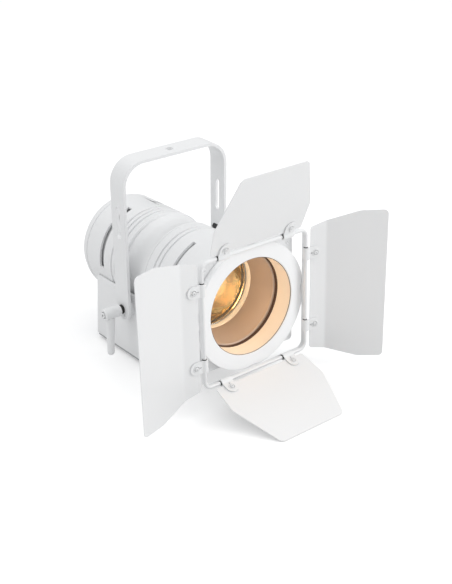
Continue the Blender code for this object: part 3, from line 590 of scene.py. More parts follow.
@dataclass
class Barrel:
    """Front shell, rear shell with a waist, and the grilled rear cover."""

    front_radius: float = 64.0
    rear_radius: float = 65.0
    seam: float = 127.0
    end: float = 262.0
    front_grooves: tuple = ((113.0, 1.5, 2.6), (105.0, 1.5, 2.6))
    rear_grooves: tuple = ((256.5, 0.8, 1.3), (199.0, 1.5, 2.4), (191.0, 1.5, 2.4), (183.0, 1.5, 2.4))
    front_vent: tuple = (80, 6, 38, 72)
    rear_vent: tuple = (221, 9, -5, 75)
    vent_radius: float = 62.5
    vent_depth: float = 15.0
    grille_radius: float = 38.0
    grille_drop: float = 4.0
    grille_pitch: float = 8.5

    def vents(self, y: float, width: float, start: float, end: float) -> list[Obj]:
        """Two curved tools that cut a slot in each side.

        Args:
            y: middle of the slot.
            width: of the slot.
            start: lower end, in degrees above the horizon.
            end: upper end.

        Returns:
            The tools.
        """
        tools = []
        for side, name in SIDES:
            begin = spun(-start * side, "Y") @ Matrix.Translation((side * self.vent_radius, 0, 0))
            sweep = ((0, 0, 0), Y, (start - end) * side, 14)
            loop = (self.vent_depth, width, begin)
            tools.append(Bench.swept(f"vent_{name}", loop, [sweep], moved(0, y, 0)))
        return tools

    def shells(self) -> None:
        """Turn both shells and cut their slots."""
        front = [
            (self.front_radius - 0.5, self.seam), (self.front_radius, self.seam - 0.5),
            *grooves(self.front_radius, self.front_grooves),
            (self.front_radius, 11), (60.5, 11), (60.5, self.seam),
        ]
        shell = Bench.turned("front_shell", front, AXIS)
        slot = Bench.block("slot", (5.6, 36.6, 14), moved(0, 57, -62))
        turn = radians(124)
        ray = Vector((-cos(turn), 0, sin(turn)))
        hole = Bench.rod("hole", 2.3, 18, facing(ray, Y * 116 + ray * 54), 24)
        Bench.combine(shell, [*self.vents(*self.front_vent), slot, hole])
        Bench.dress(Bench.soften(shell, 0.3), WHITE, "lamp", "barrel_front")
        rear = [
            (self.rear_radius - 0.5, self.end), (self.rear_radius, self.end - 0.5),
            *grooves(self.rear_radius, self.rear_grooves),
            (self.rear_radius, 172.6), (61.6, 171.8), (61.6, 168.4), (63.4, 167.6), (62.6, 165),
            (61.4, 160), (60.8, 157), (60.6, 154), (60.6, 143.5), (60.9, 140), (61.8, 135.5),
            (63.0, 132), (64.0, 130.2), (64.0, 128), (63.5, 127.4), (60.2, 127.4), (60.2, 119),
            (57.9, 119), (57.9, 174), (61.9, 179), (61.9, self.end),
        ]
        shell = Bench.turned("rear_shell", rear, AXIS)
        Bench.combine(shell, self.vents(*self.rear_vent))
        Bench.dress(Bench.soften(shell, 0.3), WHITE, "lamp", "barrel_rear")

    def liners(self) -> None:
        """White sleeves behind the slots, which hide the inside as a cast shroud does."""
        rear = [(58.6, 250), (58.6, 217.5), (57.8, 217.5), (57.8, 250)]
        sleeve = Bench.turned("vent_liner_rear", rear, AXIS)
        Bench.dress(Bench.soften(sleeve, 0.2), WHITE, "lamp")
        front = [(59.3, 87), (59.3, 80.8), (58.7, 80.8), (58.7, 87)]
        sleeve = Bench.turned("vent_liner_front", front, AXIS)
        Bench.combine(sleeve, [Bench.block("gap", (14, 20, 8), moved(0, 84, -59))])
        Bench.dress(Bench.soften(sleeve, 0.1), WHITE, "lamp")

    def cover(self) -> None:
        """Turn the rear cover, cut its grille and add its screws."""
        start = self.end + 0.3
        profile = [
            (0, start + 14.5), (44, start + 14.5), (50, start + 13.8), (55.5, start + 12.2),
            (59.6, start + 9.8), (61.7, start + 6.8), (62, start + 4), (62, start), (59, start),
            (59, start + 6), (43, start + 12), (0, start + 12),
        ]
        cover = Bench.turned("rear_cap", profile, AXIS)
        Bench.flatten()
        tools = []
        for row in range(-3, 4):
            height = row * self.grille_pitch
            width = 2 * sqrt(self.grille_radius**2 - height**2)
            at = moved(0, start + 13, height - self.grille_drop)
            tools.append(Bench.block("slit", (width, 12, 4), at))
        Bench.combine(cover, tools)
        Bench.dress(Bench.soften(cover, 0.3), WHITE, "lamp", "rear_cover")
        for index, angle in enumerate((45, 135, 225, 315), start=1):
            turn = radians(angle)
            at = (49.0 * cos(turn), start + 13.9, 49.0 * sin(turn))
            head = screw_head(f"cap_screw_{index}", 2.6, 0.5, facing(Y, at))
            Bench.dress(head, BLACK_METAL, "lamp")

    def build(self) -> None:
        """Make the barrel."""
        self.shells()
        self.liners()
        self.cover()


@dataclass
class Hood:
    """Hood ring with four tab notches, the square plate behind it and the latch."""

    radius: float = 79.0
    aperture: float = 60.0
    depth: float = 8.0
    plate_half: float = 68.0
    screw_out: float = 61.0
    notches: tuple = ((0, 80.4), (90, 77.8), (180, 79.2), (270, 77.8))
    tab_lift: float = 0.6

    def build(self) -> None:
        """Make the hood."""
        profile = [
            (self.radius, self.depth), (self.radius, 1.2), (self.radius - 0.35, 0.35),
            (self.radius - 1.2, 0), (61.2, 0), (60.35, 0.3), (self.aperture, 1.1),
            (self.aperture, self.depth),
        ]
        ring = Bench.turned("hood_ring_turned", profile, AXIS, 128)
        tools = []
        for angle, away in self.notches:
            turn = spun(angle, "Y")
            spot = turn @ Vector((0, self.depth / 2, away))
            spot.z += self.tab_lift if angle in (90, 270) else 0
            tools.append(Bench.block("notch", (11, 12, 6), moved(*spot) @ turn))
        Bench.combine(ring, tools)
        # The lighter white is painted light on the hood ring.
        Bench.dress(Bench.soften(ring, 0.25), PAINTED_LIGHT_WHITE, "lamp", "hood_ring")
        self.plate()
        self.latch()

    def plate(self) -> None:
        """Square plate with its hole, latch ears and four screws."""
        plate = Bench.begin("face_plate", "cube", size=1)
        side = 2 * self.plate_half * MM
        bpy.ops.transform.resize(value=(side, 2.4 * MM, side))
        Bench.pick("EDGE", lambda at: abs(at.y) < 0.1 and abs(at.x) > 60 and abs(at.z) > 60)
        bpy.ops.mesh.bevel(offset=5 * MM, segments=8, affect="EDGES")
        Bench.tidy()
        Bench.place(plate, moved(0, 9.5, 0))
        hole = Bench.rod("hole", 61, 20, AXIS)
        Bench.combine(plate, [hole])
        ears = [Bench.block("ear", (3, 8, 9), moved(x, 13.3, 69.7)) for x in (-7.8, 7.8)]
        Bench.combine(plate, ears, "UNION")
        bore = Bench.rod("bore", 1.6, 24, facing(X, (-12, 14, 71)), 24)
        Bench.combine(plate, [bore])
        Bench.dress(Bench.soften(plate, 0.3), WHITE, "lamp", "front_plate")
        reach = (-self.screw_out, self.screw_out)
        for index, (x, z) in enumerate([(x, z) for z in reach for x in reach], start=1):
            head = screw_head(f"plate_screw_{index}", 2.4, 1.1, facing(-Y, (x, 8.3, z)))
            Bench.dress(head, WHITE, "lamp")

    def latch(self) -> None:
        """Bent spring latch with its pin."""
        blade = Bench.begin("latch_blade", "plane", size=1)
        bpy.ops.transform.resize(value=(11 * MM, 12 * MM, 1))
        Bench.move((0, -8.5, 9.5))
        Bench.pick("EDGE", lambda at: abs(at.y + 2.5) < 0.1)
        Bench.pull((0, 1.2, 0))
        Bench.swing((0, -1.3, 7.5), X, -90, 6)
        Bench.pull((0, 0, -8.5))
        Bench.pick("VERT", lambda at: at.y < -14)
        bpy.ops.mesh.bevel(offset=3 * MM, segments=5, affect="VERTICES")
        Bench.tidy()
        Bench.place(blade, moved(0, 14, 71))
        Bench.modify(blade, "SOLIDIFY", thickness=1.6 * MM, offset=0)
        Bench.dress(Bench.soften(blade, 0.3), BLACK_METAL, "latch", "accessory_latch")
        knuckle = [
            (1.3, 9.0), (1.3, 5.4), (2.5, 5.2), (2.5, -5.2), (1.3, -5.4), (1.3, -9.0), (0, -9.0),
        ]
        pin = Bench.turned("latch_pin", [(0, 9.0), *knuckle], facing(X, (0, 14, 71)), SMALL)
        Bench.dress(Bench.soften(pin, 0.2), BLACK_METAL, "latch", "accessory_latch")


@dataclass
class Optics:
    """Everything seen down the barrel: baffle, tube, retainer, lens, reflector and light module."""

    bore: float = 60.2
    curve_radius: float = 109.6
    vertex: float = 59.8

    def tube(self) -> None:
        """Baffle ring in painted shade, inner tube with its seam and the lens retainer with a painted
        glow, plus painted warm light and shade inside the hood's mouth.
        """
        along = AXIS
        # The brown baffle ring is painted shade: a dark ring where the gap between bore and tube lies
        # in shadow.
        baffle = [(self.bore, 27.7), (self.bore, 24.7), (58.6, 24.7), (58.3, 25.2), (58.3, 27.7)]
        Bench.dress(
            Bench.soften(Bench.turned("baffle", baffle, along), 0.15), GAP_SHADE_BROWN, "lamp", "baffle_ring"
        )
        profile = [
            (51.3, 63.8), (57.5, 32.6), (self.bore, 32.4), (self.bore, 28), (58.2, 28), (57.2, 28.4),
            (56.4, 29.3), (56.1, 30.6), (56.4, 31.9), (56.3, 32.8), (50, 63.8),
        ]
        tube = Bench.turned("light_tube", profile, along)
        turn = radians(222)
        ray = Vector((cos(turn), 0, sin(turn)))
        seam = Bench.block("seam", (0.7, 40, 2.2), facing(ray, Y * 50 + ray * 53.2))
        Bench.combine(tube, [seam])
        # The tube's tan is partly painted warm light.
        Bench.dress(Bench.soften(tube, 0.2), TAN_WARM_LIGHT, "lamp", "inner_tube")
        ring = [
            (56, 71.5), (56, 65.5), (52.6, 64.3), (51.2, 64.1), (50.1, 64.5), (49.8, 65.3),
            (49.8, 71.5),
        ]
        ring_obj = Bench.turned("lens_ring", ring, along)
        # The lens retainer's glow is painted light.
        Bench.dress(Bench.soften(ring_obj, 0.2), PAINTED_GLOW_RING, "lamp", "lens_retainer")
        mount = [
            (self.bore, 80.4), (self.bore, 71.8), (51.8, 71.8), (51.8, 76.5), (48.6, 76.5),
            (48.6, 80.4),
        ]
        seat = Bench.turned("lens_seat", mount, along)
        notch = Bench.block("notch", (11.4, 20, 5), moved(0, 76, -59.2))
        Bench.combine(seat, [notch])
        Bench.dress(Bench.soften(seat, 0.2), WHITE, "lamp", "lens_mount")
        # A thin cream sleeve over the white bore: painted warm light on the inner wall of the hood.
        liner = [(59.95, 24.4), (59.95, 1.9), (59.75, 1.6), (59.45, 1.9), (59.45, 24.4)]
        Bench.dress(Bench.soften(Bench.turned("warm_light_liner", liner, along), 0.08), WARM_LIGHT_CREAM, "lamp")
        # A dark brown ring at the sleeve's front edge: painted shade standing for the shadowed gap
        # there.
        line = [(59.98, 1.55), (59.98, 1.15), (59.5, 1.15), (59.5, 1.55)]
        Bench.dress(Bench.turned("gap_shade_ring", line, along), GAP_SHADE_BROWN, "lamp")

    def lens(self) -> None:
        """Plano-convex lens, bulging towards the front."""
        radii = [51.4, 51.0, *(51.0 * step / 20 for step in range(19, -1, -1))]
        sag = [self.vertex + self.curve_radius - sqrt(self.curve_radius**2 - r**2) for r in radii]
        front = list(zip(radii, sag))
        front[0] = (51.4, sag[1] + 0.4)
        profile = [(0, 76.2), (51.0, 76.2), (51.4, 75.8), *front]
        glass = Bench.turned("lens_glass_turned", profile, AXIS)
        Bench.smooth(30)
        Bench.dress(glass, GLASS, "lamp", "lens")

    def reflector(self) -> None:
        """Golden parabolic bowl, a gold sleeve in front of its rim, and the light module in its foot.
        """
        radii = [13.0 + 33.0 * step / 18 for step in range(19)]
        inner = [(r, 124.5 - r**2 / 62) for r in radii]
        outer = [(r + 0.9, y + 1.1) for r, y in inner]
        outer[0] = (13.9, inner[0][1])
        bowl = Bench.turned("gold_bowl", [*outer, *reversed(inner)], AXIS, 128)
        Bench.smooth(40)
        Bench.dress(bowl, GOLD, "focus", "reflector")
        module = [
            (0, 124.4), (18, 124.4), (18, 122.6), (17.8, 122.4), (9.4, 122.4), (9.0, 122.0),
            (8.6, 119.9), (7.4, 117.8), (5.6, 116.1), (3.2, 115.1), (0, 114.8),
        ]
        sleeve = [(48.2, 89.9), (48.2, 77.0), (47.5, 77.0), (47.0, 89.9)]
        Bench.dress(Bench.turned("bowl_sleeve", sleeve, AXIS), GOLD, "lamp")
        bpy.data.objects["bowl_sleeve"].data.shade_smooth()
        chip = Bench.turned("light_module", module, AXIS, MEDIUM)
        Bench.smooth(40)
        Bench.dress(chip, LED, "focus", "led_module")

    def build(self) -> None:
        """Make the optics."""
        self.tube()
        self.lens()
        self.reflector()


@dataclass
class Knobs:
    """Focus knob under the barrel and the lock screw at its upper side, both with grip flutes."""

    focus_y: float = 42.0
    lock_angle: float = 124.0
    lock_y: float = 116.0

    @staticmethod
    def flutes(obj: Obj, radius: float, low: float, high: float, count: int, size: float) -> Obj:
        """Cut grip flutes round a knob that still stands at its own origin.

        Args:
            obj: the knob.
            radius: where the flutes are centred.
            low: lower end of the flutes.
            high: upper end.
            count: how many.
            size: radius of one flute.

        Returns:
            The knob.
        """
        for index in range(count):
            turn = tau * index / count
            at = Matrix.Translation(Vector((cos(turn) * radius, sin(turn) * radius, low)) * MM)
            tool = Bench.rod("flute", size, high - low, at, 12)
            Bench.combine(obj, [tool])
        return obj

    def build(self) -> None:
        """Make both knobs."""
        profile = [
            (0, 3.8), (2.4, 3.8), (2.4, -2), (6.2, -2), (7.1, -2.6), (7.4, -3.6), (7.4, -12.8),
            (6.9, -13.9), (5.8, -14.4), (0, -14.4),
        ]
        knob = Bench.turned("focus_grip", profile, Matrix.Identity(4), MEDIUM)
        self.flutes(knob, 7.9, -14, -3.4, 12, 1.1)
        Bench.soften(knob, 0.2)
        Bench.place(knob, moved(0, self.focus_y, -63.6))
        Bench.dress(knob, BLACK_PLASTIC, "focus", "focus_knob")
        turn = radians(self.lock_angle)
        ray = Vector((-cos(turn), 0, sin(turn)))
        profile = [(0, 6), (2.8, 6), (3.25, 5.6), (3.4, 5.0), (3.4, 0.5), (2, 0.5), (2, -6), (0, -6)]
        lock = Bench.turned("lock_grip", profile, Matrix.Identity(4), 40)
        self.flutes(lock, 3.7, 0.9, 7.0, 10, 0.55)
        Bench.soften(lock, 0.12)
        Bench.place(lock, facing(ray, Y * self.lock_y + ray * 64.0))
        Bench.dress(lock, BLACK_PLASTIC, "lock_screw", "lock_screw")


@dataclass
class BaseBox:
    """Cast housing under the barrel, with feet, rear panel and connectors."""

    front: float = 84.0
    top: float = -20.0
    bottom: float = -106.0
    rear_top: float = 234.0
    rear_bottom: float = 242.0
    half_top: float = 66.0
    half_bottom: float = 68.0
    wall: float = 2.5
    ceiling: float = -46.0
    window: tuple = (116, 12, 31)
    window_up: float = 20.5
    socket_up: float = 20.0
    foot_out: float = 50.0
    foot_rows: tuple = (95.0, 229.0)
    pivot: tuple = (160.2, -38.0)

    def slab(self, name: str, low: tuple, high: tuple) -> Obj:
        """A block whose bottom and top are (half width, front, rear, z) rectangles.

        Args:
            name: the piece's name.
            low: the bottom rectangle.
            high: the top rectangle.

        Returns:
            The block, in place.
        """
        obj = Bench.begin(name, "cube", size=2 * MM)
        for sign, (half, front, rear, z) in ((-1, low), (1, high)):
            for depth, y in ((-1, front), (1, rear)):
                Bench.pick("VERT", lambda at: at.z == sign and abs(at.x) == 1 and at.y == depth)
                bpy.ops.transform.resize(value=(half, 1, 1), center_override=(0, 0, 0))
                Bench.move((0, y - depth, z - sign))
        Bench.tidy()
        return Bench.place(obj, Matrix.Translation(LAMP * MM))

    def rear(self, across: float, out: float, up: float) -> Vector:
        """A point along the raked rear face, in lamp millimetres."""
        rake = self.rake
        normal = Vector((0, cos(rake), sin(rake)))
        rise = Vector((0, -sin(rake), cos(rake)))
        return Vector((across, self.rear_bottom, self.bottom)) + normal * out + rise * up

    @property
    def rake(self) -> float:
        """Lean of the rear face in radians."""
        return atan2(self.rear_bottom - self.rear_top, self.top - self.bottom)

    def housing(self) -> None:
        """Cast body with its saddle, bosses and rear window."""
        low = (self.half_bottom, self.front, self.rear_bottom, self.bottom)
        high = (self.half_top, self.front, self.rear_top, self.top)
        body = self.slab("cast_box", low, high)
        Bench.soften(body, 2.0, 5)
        y, z = self.pivot
        for side, _ in SIDES:
            boss = [(0, 9.9), (10.4, 9.9), (11, 9.3), (11, 0), (0, 0)]
            Bench.combine(
                body, [Bench.turned("boss", boss, facing(X * side, (side * 62, y, z)), MEDIUM)], "UNION"
            )
        saddle = Bench.rod("saddle", 65.4, 210, facing(Y, (0, 60, 0)))
        inset = self.wall
        front = self.front + inset
        low = (self.half_bottom - inset, front, self.rear_bottom - inset + 1, self.bottom - 5)
        high = (self.half_top - inset, front, self.rear_top - inset + 3, self.ceiling)
        room = self.slab("room", low, high)
        holes = [
            Bench.rod("hole", 4.4, 20, facing(X * side, (side * 56.1, y, z)), 32)
            for side, _ in SIDES
        ]
        at = moved(*self.rear(0, 0, self.window_up)) @ Matrix.Rotation(self.rake, 4, "X")
        window = Bench.block("window", self.window, at)
        Bench.combine(body, [saddle, room, *holes, window])
        Bench.smooth(30)
        Bench.dress(body, WHITE, "lamp", "base_housing")

    def feet(self) -> None:
        """Four rubber feet, each with a recess for a sunk screw."""
        profile = [
            (0, 1.6), (3.4, 1.6), (3.8, 0), (7, 0), (7.6, 0.4), (8, 1.2), (8, 3.4), (0, 3.4),
        ]
        model = Bench.turned("foot_pad_1", profile, Matrix.Identity(4), MEDIUM)
        Bench.soften(model, 0.15)
        spots = [(x, y) for y in self.foot_rows for x in (-self.foot_out, self.foot_out)]
        for index, (x, y) in list(enumerate(spots, start=1))[::-1]:
            at = moved(x, y, -112.3)
            foot = Bench.place(model, at) if index == 1 else Bench.twin(model, f"foot_pad_{index}", at)
            Bench.dress(foot, RUBBER, "lamp", f"foot_{index}")

    def panel(self) -> None:
        """Screws of the rear panel, its buttons and its four connectors."""
        normal = self.rear(0, 1, 0) - self.rear(0, 0, 0)
        for index, (x, up) in enumerate(((-58.3, 6), (58.3, 6), (-58.3, 35), (58.3, 35)), start=1):
            head = screw_head(f"panel_screw_{index}", 1.9, 0.9, facing(normal, self.rear(x, 2.3, up)))
            Bench.dress(head, STEEL, "lamp")
        profile = [(0, 3.5), (1.5, 3.55), (2.0, 3.9), (2.3, 3.7), (2.4, 3.3), (2.4, -1.5), (0, -1.5)]
        for index, across in enumerate((-10.5, -3.5, 3.5, 10.5), start=1):
            cap = Bench.turned(f"key_{index}", profile, facing(normal, self.rear(across, 0, 12)), SMALL)
            Bench.smooth(40)
            Bench.dress(cap, GREY, f"button_{index}", f"button_{index}")
        for name, finish, across, bore, depth, pins in (
            ("power_inlet", BLUE, -48.5, 7.2, 12, 3),
            ("power_outlet", GREY, -26, 7.2, 12, 3),
            ("data_in", BLACK_METAL, 26, 7.6, 11, 5),
            ("data_out", BLACK_METAL, 48.5, 7.6, 11, 5),
        ):
            self.connector(name, finish, across, bore, depth, pins, normal)

    def connector(
        self, name: str, finish: Finish, across: float, bore: float, depth: float, pins: int,
        normal: Vector,
    ) -> None:
        """One panel connector: flange with two screws, sleeve, contacts.

        Args:
            name: the CAD node it stands for.
            finish: of its flange and sleeve.
            across: where it is on the panel.
            bore: radius of the socket.
            depth: of the socket.
            pins: how many contacts.
            normal: outward direction of the panel.
        """
        at = moved(*self.rear(across, 3.5, self.socket_up)) @ Matrix.Rotation(self.rake, 4, "X")
        flange = Bench.block(f"{name}_flange", (21, 1.8, 26), at)
        Bench.soften(flange, 0.5, 3)
        sleeve = [(0, 18.9), (9.1, 18.9), (9.4, 18.6), (9.4, 0), (0, 0)]
        root = facing(normal, self.rear(across, -14, self.socket_up))
        tool = Bench.turned("sleeve", sleeve, root, MEDIUM)
        Bench.combine(flange, [tool], "UNION")
        floor = facing(normal, self.rear(across, 4.5 - depth, self.socket_up))
        Bench.combine(flange, [Bench.rod("hollow", bore, depth + 4, floor, MEDIUM)])
        Bench.smooth(30)
        Bench.dress(flange, finish, "lamp", name)
        ring = bore * 0.5
        for index in range(pins):
            turn = radians(90 + 360 * index / pins)
            up = self.socket_up + ring * sin(turn)
            base = self.rear(across + ring * cos(turn), 4.4 - depth, up)
            profile = [(0, depth - 4), (0.5, depth - 4.1), (0.8, depth - 4.6), (0.8, -0.5), (0, -0.5)]
            pin = Bench.turned(f"{name}_contact_{index + 1}", profile, facing(normal, base), 12)
            Bench.smooth(40)
            Bench.dress(pin, STEEL, "lamp")
        for side, tag in SIDES:
            spot = self.rear(across + side * 8.2, 4.4, self.socket_up + side * 10.6)
            head = screw_head(f"{name}_screw_{tag}", 1.5, 0.5, facing(normal, spot))
            Bench.dress(head, STEEL, "lamp")

    def build(self) -> None:
        """Make the box."""
        self.housing()
        self.feet()
        self.panel()


@dataclass
class Yoke:
    """Bent flat bar with its studs, washers and clamp levers."""

    pivot: Vector = field(default_factory=lambda: Vector((0, 160.2, -38.0)))
    lean: float = 2.27
    outer: float = 76.4
    sheet: float = 4.0
    width: float = 28.0
    reach: float = 191.85
    bend: float = 30.0
    slot: tuple = (7.0, 41.0)
    slot_up: float = 115.5

    @property
    def stand(self) -> Matrix:
        """Frame of the bar at its pivot."""
        return moved(*self.pivot) @ spun(self.lean, "X")

    def bar(self) -> None:
        """Sweep the bar, round its feet, cut its slots and holes."""
        middle, half = self.outer - self.sheet / 2, self.width / 2
        high, wide = self.reach - self.bend, self.outer - self.bend
        moves = [
            (0, 0, high + half), ((wide, 0, high), Y, -90, 14), (-2 * wide, 0, 0),
            ((-wide, 0, high), Y, -90, 14), (0, 0, -high - half),
        ]
        start = Matrix.Translation((middle, 0, -half))
        bar = Bench.swept("yoke_bar", (self.sheet, self.width, start), moves, Matrix.Identity(4))
        bpy.ops.object.mode_set(mode="EDIT")
        Bench.pick("EDGE", lambda at: abs(abs(at.y) - half) < 0.01 and abs(at.z + half) < 0.01)
        bpy.ops.mesh.bevel(offset=(half - 0.02) * MM, segments=14, affect="EDGES")
        Bench.tidy()
        pill = Bench.begin("pill", "cube", size=1)
        bpy.ops.transform.resize(value=Vector((200, *self.slot)) * MM)
        Bench.pick("EDGE", lambda at: abs(at.x) < 1 and abs(at.y) > 3 and abs(at.z) > 20)
        bpy.ops.mesh.bevel(offset=3.49 * MM, segments=10, affect="EDGES")
        Bench.tidy()
        Bench.place(pill, shift(0, 0, self.slot_up))
        across = spun(90, "Y") @ Matrix.Translation((0, 0, -0.09))
        bore = Bench.rod("bore", 4.4, 180, across, 32)
        up = Matrix.Translation((0, 0, 0.18))
        hole = Bench.rod("hole", 5.25, 20, up, MEDIUM)
        Bench.combine(bar, [pill, bore, hole])
        Bench.soften(bar, 0.45, 3)
        Bench.place(bar, self.stand)
        Bench.dress(bar, WHITE, "yoke", "yoke")

    def joint(self, side: int, name: str) -> None:
        """Stud, washer, stop pin and clamp lever of one side.

        Args:
            side: -1 for the left and 1 for the right.
            name: that side's name.
        """
        out = facing(X * side, self.pivot)
        stud = [(0, 97), (3.2, 97), (4, 96), (4, 56.6), (0, 56.6)]
        bolt = Bench.turned(f"stud_{name}", stud, out, SMALL)
        Bench.dress(Bench.soften(bolt, 0.1), STEEL, "lamp", f"pivot_stud_{name}")
        collar = [(5.9, 80.2), (5.9, 76.7), (4.4, 76.7), (4.4, 80.2)]
        washer = Bench.turned(f"washer_{name}", collar, out, MEDIUM)
        Bench.dress(Bench.soften(washer, 0.3, 3), BLACK_METAL, "yoke", f"collar_{name}")
        pin = Bench.turned(
            f"stop_pin_{name}", [(0, 1.5), (1.2, 1.4), (1.7, 1.0), (1.8, 0.4), (1.8, -1), (0, -1)],
            Matrix.Identity(4), 24,
        )
        Bench.smooth(50)
        at = self.stand @ shift(side * self.outer, -5.2, -9)
        Bench.place(pin, at @ spun(90 * side, "Y"))
        Bench.dress(pin, WHITE, "yoke")
        hub = [
            (0, 105.3), (2.9, 105.3), (3.3, 104.9), (3.3, 101.6), (4.6, 101.6), (4.6, 103.7),
            (5.0, 104.0), (6.4, 103.9), (7.2, 103.4), (7.5, 102.6),
            (7.5, 82.2), (7.2, 81.5), (6.2, 80.6), (4.4, 80.6), (4.4, 98), (0, 98),
        ]
        lever = Bench.turned(f"lever_{name}", hub, out, MEDIUM)
        grip = [
            (0, 0), (6, 0), (5.9, -6), (5.2, -24), (4.6, -44), (4.5, -47), (4.1, -49.2), (3.0, -50.6),
            (1.6, -51), (0, -51),
        ]
        top = self.pivot + Vector((side * 95, 0, -5.5))
        handle = Bench.turned("grip", grip, facing((-side * 0.05, 0, 1), top), 32)
        Bench.combine(lever, [handle], "UNION")
        Bench.begin("key_hole", "cylinder", vertices=6, radius=1.9 * MM, depth=5 * MM)
        Bench.tidy()
        key = Bench.place(bpy.context.object, facing(X * side, self.pivot + X * side * 105.3))
        Bench.combine(lever, [key])
        disc = [(0, 0.5), (1.8, 0.5), (1.8, 0), (0, 0)]
        seat = facing(X * side, self.pivot + X * side * 102.85)
        Bench.dress(Bench.turned(f"lever_key_{name}", disc, seat, 6), BLACK_METAL, f"lever_{name}")
        Bench.soften(lever, 0.5, 3, 40)
        Bench.dress(lever, WHITE, f"lever_{name}", f"clamp_lever_{name}")

    def build(self) -> None:
        """Make the yoke."""
        self.bar()
        for side, name in SIDES:
            self.joint(side, name)


@dataclass
class Rail:
    """One side of the wire rim. Local x runs along the hinge, y out along the leaf, z inwards."""

    name: str
    centre: Vector
    along: Vector
    inwards: Vector

    @property
    def stand(self) -> Matrix:
        """The rail's frame."""
        return framed((self.along.cross(self.inwards), self.along, self.inwards), self.centre)


OPENINGS = (("top", Z, 69.5), ("bottom", -Z, 18.95), ("right", X, 75.0), ("left", -X, 95.6))


